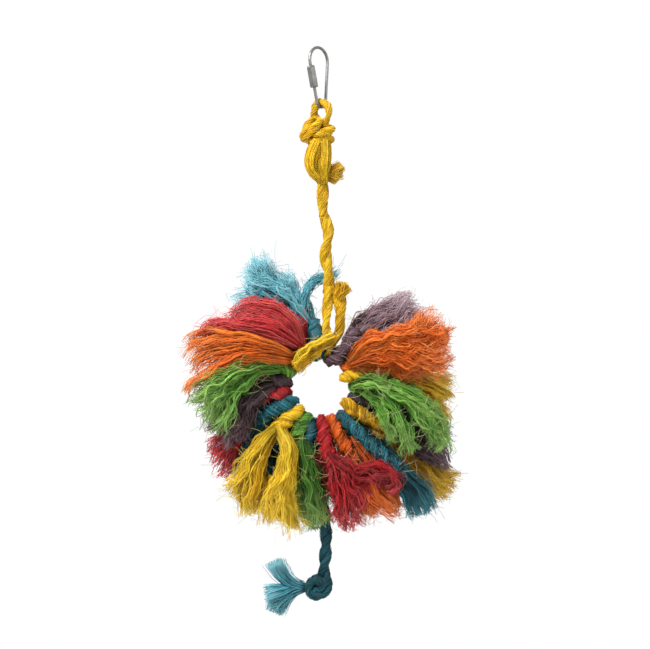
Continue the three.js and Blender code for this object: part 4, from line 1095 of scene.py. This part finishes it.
# %% Tassels at the upper left
TASSELS |= {
    "tassel_15_purple": dict(place=15, dye="purple", shade=-0.1, crimp=1, curl=2, clump=4, locks=[
        [(-31.4, 4, -238.5, 3.6), (-48.6, 8, -240.6, 6.4), (-62.8, 11, -252, 8.6),
         (-76.4, 12, -267.8, 7.9), (-80.7, 11, -276.3, 5)],
        [(-32.1, 5, -239.2, 3.6), (-47.1, 10, -246.3, 7.1), (-55.7, 14, -264.9, 8.6),
         (-64.3, 13, -283.5, 7.1)],
        [(-32.8, 6, -237.8, 2.9), (-51.4, 11, -236.3, 5.7), (-68.5, 15, -244.9, 7.1),
         (-80, 14, -257.8, 5.7)],
        [(-32.8, -4, -240.6, 3.6), (-44.3, -7, -249.2, 5.7), (-51.4, -8, -263.5, 6.4),
         (-57.1, -4, -282, 5.7)],
        [(-31.4, -6, -239.2, 3.6), (-41.4, -9, -243.5, 5), (-51.4, -10, -252, 6.4),
         (-60, -8, -266.3, 6.4), (-67.1, -4, -284.9, 5)],
    ]),
    "tassel_16_green": dict(place=16, dye="green", shade=0.02, crimp=0.9, curl=1.8, clump=5, locks=[
        [(-24.3, -6, -227.8, 3.6), (-42.8, -10, -225.6, 5), (-62.8, -14, -234.9, 6.4),
         (-80, -15, -246.3, 5.7), (-92.1, -13, -254.2, 2.9)],
        [(-25, -6, -227.8, 3.6), (-44.3, -12, -228.5, 5), (-60, -17, -239.2, 5.7),
         (-70.7, -17, -253.5, 5.7), (-76.4, -13, -272, 3.6)],
        [(-25.7, -7, -227.1, 2.9), (-47.1, -12, -222.8, 4.3), (-68.5, -16, -230.6, 5.7),
         (-84.3, -15, -240.6, 5), (-90, -13, -246.3, 3.6)],
        [(-27.1, -7, -228.5, 2.9), (-42.8, -11, -230.6, 4.3), (-55.7, -15, -242, 5),
         (-63.5, -16, -257.8, 5), (-68.5, -12, -277, 3.6)],
        [(-40, -16, -226.3, 2.9), (-58.5, -21, -232, 4.3), (-74.3, -21, -241.3, 4.3),
         (-85.7, -17, -252.8, 2.9)],
        [(-34.3, -6, -227.8, 3.6), (-52.8, -8, -233.5, 5.7), (-68.5, -9, -246.3, 6.4),
         (-80, -8, -260.6, 5)],
    ]),
    "tassel_17_orange": dict(place=17, dye="orange", shade=0.06, crimp=0.35, curl=1, clump=3, locks=[
        [(-17.1, -7, -219.2, 3.6), (-32.8, -12, -212.8, 5.7), (-50, -16, -209.2, 6.4),
         (-68.5, -16, -209.2, 7.1), (-84.3, -12, -212.8, 7.1), (-93.5, -8, -220.6, 4.3)],
        [(-17.8, -7, -220.6, 3.6), (-35.7, -14, -216.3, 5.7), (-54.3, -17, -214.2, 5.7),
         (-71.4, -16, -217.1, 5.7), (-84.3, -14, -223.5, 5.7), (-89.2, -10, -232, 3.6)],
        [(-18.6, -8, -218.5, 2.9), (-37.1, -15, -210.6, 5), (-55.7, -18, -206.3, 5),
         (-74.3, -17, -204.2, 5.7), (-87.1, -12, -206.3, 5), (-94.2, -9, -213.5, 2.9)],
        [(-30, -14, -216.3, 3.6), (-45.7, -19, -216.3, 3.6), (-60, -20, -219.9, 3.9),
         (-72.8, -20, -228.5, 3.9), (-84.3, -18, -236.3, 3.6), (-90.7, -16, -241.3, 2.9),
         (-91.4, -14, -248.5, 2.1)],
        [(-20, -9, -222.8, 2.9), (-35.7, -14, -220.6, 4.3), (-51.4, -15, -220.6, 4.3),
         (-65.7, -14, -226.3, 4.3), (-80, -12, -233.5, 3.6)],
    ]),
    "tassel_18_red": dict(place=18, dye="red", shade=0.3, crimp=0.35, curl=1, clump=3, locks=[
        [(-11.4, -7, -212.1, 3.6), (-19.3, -12, -194.9, 5.7), (-34.3, -14, -185.6, 6.4),
         (-49.3, -15, -184.9, 6.4), (-61.4, -13, -192.8, 4.3)],
        [(-10.7, -7, -211.3, 3.6), (-24.3, -13, -198.5, 5.7), (-40, -16, -191.4, 6.4),
         (-55.7, -16, -192.8, 5.7), (-68.5, -13, -201.3, 3.6)],
        [(-11.4, -8, -212.8, 2.9), (-24.3, -13, -203.5, 5), (-41.4, -16, -197.1, 5),
         (-58.5, -16, -197.1, 4.3), (-74.3, -14, -197.8, 3.6), (-80.7, -12, -202.8, 2.1)],
        [(-12.9, -7, -213.5, 2.9), (-25.7, -11, -207.8, 4.3), (-41.4, -13, -202.8, 4.3),
         (-57.1, -14, -200.6, 3.6), (-71.4, -13, -199.2, 2.9)],
        [(-44.3, -17, -199.2, 2.5), (-60, -19, -196.3, 2.9), (-73.5, -18, -195.6, 2.9),
         (-80.7, -16, -200.6, 2.5), (-77.8, -14, -207.1, 1.4)],
    ]),
    "tassel_19_teal": dict(place=19, dye="pale_teal", shade=0.08, crimp=0.8, curl=1.8, clump=3, locks=[
        [(-0.7, 6, -204.9, 3.6), (-11.4, 12, -189.2, 5.7), (-24.3, 16, -176.4, 8.6),
         (-38.6, 16, -159.9, 7.9), (-47.8, 14, -146.4, 2.9)],
        [(-1.4, 6, -205.6, 3.6), (-14.3, 13, -192.1, 5.7), (-34.3, 17, -182.8, 8.6),
         (-51.4, 16, -179.9, 7.9), (-64.3, 13, -183.5, 5)],
        [(-0.7, 7, -203.5, 2.9), (-9.3, 14, -186.4, 5), (-19.3, 17, -172.1, 6.4), (-25, 14, -157.8, 5)],
        [(-2.1, 6, -204.9, 2.9), (-14.3, 10, -189.2, 5.7), (-30, 15, -177.8, 7.1),
         (-44.3, 16, -169.2, 7.9), (-55.7, 14, -164.2, 4.3)],
        [(-20, 6, -182.1, 5.7), (-32.8, 6, -172.1, 7.1), (-42.8, 8, -160.7, 5.7),
         (-49.3, 9, -152.1, 2.9)],
        [(-5.7, 3, -197.8, 3.6), (-14.3, 4, -187.8, 5), (-24.3, 5, -177.8, 6.4),
         (-35.7, 6, -170.6, 6.4), (-52.8, 8, -172.1, 4.3)],
    ], rope=[(4.3, -2, -217.8, 9.3), (-0.7, 2, -209.9, 12.1), (-6.4, 5, -201.3, 13.6),
             (-12.9, 8, -192.8, 12.9), (-17.8, 10, -185.6, 10.7)]),
}
print(len(TASSELS), "tassels with", sum(len(tassel["locks"]) for tassel in TASSELS.values()), "locks")

# %% [markdown]
# Rope that a bird has worked at is fuzzy. Short fine hairs start on the rope's skin, lie along it and
# bend away.

# %% Fuzz on a rope
FUZZ_RADIUS = 0.11
SKIN = 0.42


def rope_fuzz(points, count, chance, rings=6):
    line = smooth_line(points, 60)
    ahead, side, up = (part[0] for part in directions(line[None, :, :3]))
    spot = chance.integers(18, 58, count)
    round_it = 2 * math.pi * chance.random((count, 1))
    out = np.cos(round_it) * side[spot] + np.sin(round_it) * up[spot]
    way = chance.choice([-1, 1], (count, 1)) * ahead[spot] + chance.normal(0, 0.4, (count, 3))
    reach = chance.uniform(2.5, 8, (count, 1, 1))
    share = np.linspace(0, 1, rings)[None, :, None]
    bend = chance.normal(0, 0.5, (count, 1, 3)) * share ** 2
    start = line[spot, :3] + SKIN * line[spot, 3:] * out
    lines = start[:, None] + reach * (share * (0.75 * way + 0.4 * out)[:, None] + bend)
    return lay_fibres(lines, np.full((count, rings), FUZZ_RADIUS), chance.uniform(0.5, 1, count))


# %% [markdown]
# At its root a tassel shows its loop, in some places a length of rope with fuzz on it, and a bed of short
# fibre, dark with painted shade, that hides the ring between the loops. The two tassels beside the hanger
# have no such bed, because their rope covers the ring.

# %% Roots of the tassels
ROPE_SHADE = {"lilac": -0.46, "pale_teal": -0.46}
FUZZ_PER_ROPE = 60
BED_FIBRES = 150
BED_SECTION = [(29, 3, 5), (38, 4, 8), (48, 5, 10), (60, 7, 11)]
BARE_ROOTS = (1, 19)


def tassel_root(tassel, chance):
    angle = place_angle(tassel["place"])
    dark = ROPE_SHADE.get(tassel["dye"], 0.5 * tassel["shade"] - 0.06)
    bundles = rope_loop(tassel["place"], chance, dark)
    if "rope" in tassel:
        turn = chance.uniform(0, math.pi)
        bundles += rope(tassel["rope"], lay=21, steps=36, fibres=24, chance=chance, turn=turn, shade=dark)
        bundles.append(rope_fuzz(tassel["rope"], FUZZ_PER_ROPE, chance))
    if tassel["place"] not in BARE_ROOTS:
        bed = [(*ring_spot(radius, angle, depth), width) for radius, depth, width in BED_SECTION]
        # painted shade: the bed's fibres are set darker than the tassel's rope
        bundles.append(frayed_lock(bed, BED_FIBRES, crimp=0.6, curl=1.5, chance=chance, shade=dark - 0.18,
                                   rings=7))
    return bundles


# %% [markdown]
# A tassel is one piece from its loop to its tips: the root, and the locks with their cores, mats and
# hairs. Particle hair would have to be combed by hand, and combing can't be written down.

# %% Tassels
BACK_RINGS = 13
FIBRES_PER_MM = 15.6
MAT_PER_LOCK = 46
HAIRS_PER_LOCK = 5
HAIR_REACH = 24
MORE_HAIRS = {"green": 8}


def dressed_lock(lock, tassel, chance):
    count = int(FIBRES_PER_MM * max(point[3] for point in lock))
    rings = FRONT_RINGS if lock[1][1] < 0 else BACK_RINGS
    clump = tassel.get("clump", FIBRES_PER_WISP)
    shade = tassel["shade"]
    return [
        frayed_lock(lock, count, tassel["crimp"], tassel["curl"], chance, shade, rings, clump),
        painted_shade_core(lock, chance, shade),
        loose_mat(lock, MAT_PER_LOCK, chance, shade),
        stray_hairs(lock, HAIRS_PER_LOCK, HAIR_REACH, chance),
    ]


for name, tassel in TASSELS.items():
    chance = np.random.default_rng(100 + tassel["place"])
    bundles = tassel_root(tassel, chance)
    for lock in tassel["locks"]:
        bundles += dressed_lock(lock, tassel, chance)
    if tassel["dye"] in MORE_HAIRS:
        more = MORE_HAIRS[tassel["dye"]]
        bundles += [stray_hairs(lock, more, HAIR_REACH, chance) for lock in tassel["locks"]]
    piece = make_piece(name + "_sisal", bundles, DYES[tassel["dye"]])
    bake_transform(piece)
    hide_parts(name + "_loop", name + "_brush")

# %% [markdown]
# One strand of the pale teal tassel has strayed: it leaves the tassel near its root and is caught behind
# the hanger rope. It is a piece of its own.

# %% Strand caught behind the hanger
CAUGHT_STRAND = [
    (-14.3, 5, -194.9, 3.6), (-11.4, 7, -184.9, 3.6), (-9.3, 9, -175.6, 3.2), (-7.1, 11, -169.2, 3.2),
    (-2.9, 12, -164.9, 3.6), (2.1, 13, -163.5, 3.6), (7.9, 12, -160.6, 3.2), (12.9, 12, -157.8, 2.9),
    (16.4, 12, -156.4, 2.5),
]
strand_chance = np.random.default_rng(31)
strand_bundles = [
    frayed_lock(CAUGHT_STRAND, 62, crimp=0.5, curl=1.1, chance=strand_chance, shade=-0.04, rings=19, clump=3),
    painted_shade_core(CAUGHT_STRAND, strand_chance, shade=0.1, rings=14),
    loose_mat(CAUGHT_STRAND, 24, strand_chance),
    stray_hairs(CAUGHT_STRAND, count=5, reach=18, chance=strand_chance),
]
caught_strand = make_piece("caught_strand", strand_bundles, DYES["pale_teal"])
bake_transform(caught_strand)

# %% [markdown]
# ## Floor, light and background
#
# The toy hangs free, so the floor is a pale disc some way below it, outside the camera's view, that
# catches its shadow. It gets a little thickness, so that it is closed.

# %% Floor
FLOOR_HEIGHT = -0.63
FLOOR_RADIUS = 1.05
FLOOR_THICK = 0.02
bpy.ops.object.select_all(action="DESELECT")
bpy.ops.mesh.primitive_circle_add(vertices=96, radius=FLOOR_RADIUS, fill_type="NGON",
                                  location=(0, 0, FLOOR_HEIGHT))
floor = bpy.context.object
floor.name = "pale_floor"
bpy.ops.object.mode_set(mode="EDIT")
bpy.ops.mesh.select_all(action="SELECT")
bpy.ops.mesh.extrude_region_move(TRANSFORM_OT_translate={"value": (0, 0, -FLOOR_THICK)})
bpy.ops.mesh.select_all(action="SELECT")
bpy.ops.mesh.normals_make_consistent(inside=False)
bpy.ops.object.mode_set(mode="OBJECT")
bpy.ops.object.transform_apply(location=True, rotation=True, scale=True)
floor_paint, _, floor_shader = new_finish("pale_floor")
floor_shader.inputs["Base Color"].default_value = colour(240, 239, 236)
floor_shader.inputs["Roughness"].default_value = 0.8
floor.data.materials.append(floor_paint)
print("floor at", FLOOR_HEIGHT, "m")

# %% [markdown]
# A soft key lamp at the upper left gives the fibres their shading. A weak lamp at the right keeps the
# shadows open, and one behind draws a fine edge on the loose hairs. All three look at the toy's middle.

# %% Lamps
TOY_MIDDLE = Vector((0, 0, -0.2))


def soft_lamp(name, place, size, power):
    bpy.ops.object.select_all(action="DESELECT")
    bpy.ops.object.light_add(type="AREA", location=place)
    lamp = bpy.context.object
    lamp.name = name
    lamp.data.size = size
    lamp.data.energy = power
    lamp.rotation_euler = (TOY_MIDDLE - lamp.location).to_track_quat("-Z", "Y").to_euler()


soft_lamp("key_lamp", place=(-0.8, -0.9, 0.95), size=0.6, power=36)
soft_lamp("fill_lamp", place=(1.2, -0.9, 0.2), size=1.0, power=5)
soft_lamp("back_lamp", place=(0.5, 1.3, 0.5), size=0.9, power=9)
print("three lamps")

# %% [markdown]
# The world is white where the camera sees it, also in the steel, and dimmer as a light. Light Path tells
# the two apart.

# %% White world
AS_LIGHT = 0.42
AS_SEEN = 1
world = bpy.data.worlds.new("white_room")
bpy.context.scene.world = world
world.use_nodes = True
room = world.node_tree
background = room.nodes["Background"]
background.inputs["Color"].default_value = (1, 1, 1, 1)
ray = add_node(room, "LightPath")
seen = add_node(room, "Math")
through = add_node(room, "Math")
for either in (seen, through):
    either.operation = "MAXIMUM"
join(room, ray, "Is Camera Ray", seen, 0)
join(room, ray, "Is Glossy Ray", seen, 1)
join(room, seen, "Value", through, 0)
join(room, ray, "Is Transmission Ray", through, 1)
level = add_node(room, "MapRange", To_Min=AS_LIGHT, To_Max=AS_SEEN)
join(room, through, "Value", level, "Value")
join(room, level, "Result", background, "Strength")
bpy.context.scene.view_settings.view_transform = "Standard"
print("world is white to the camera")
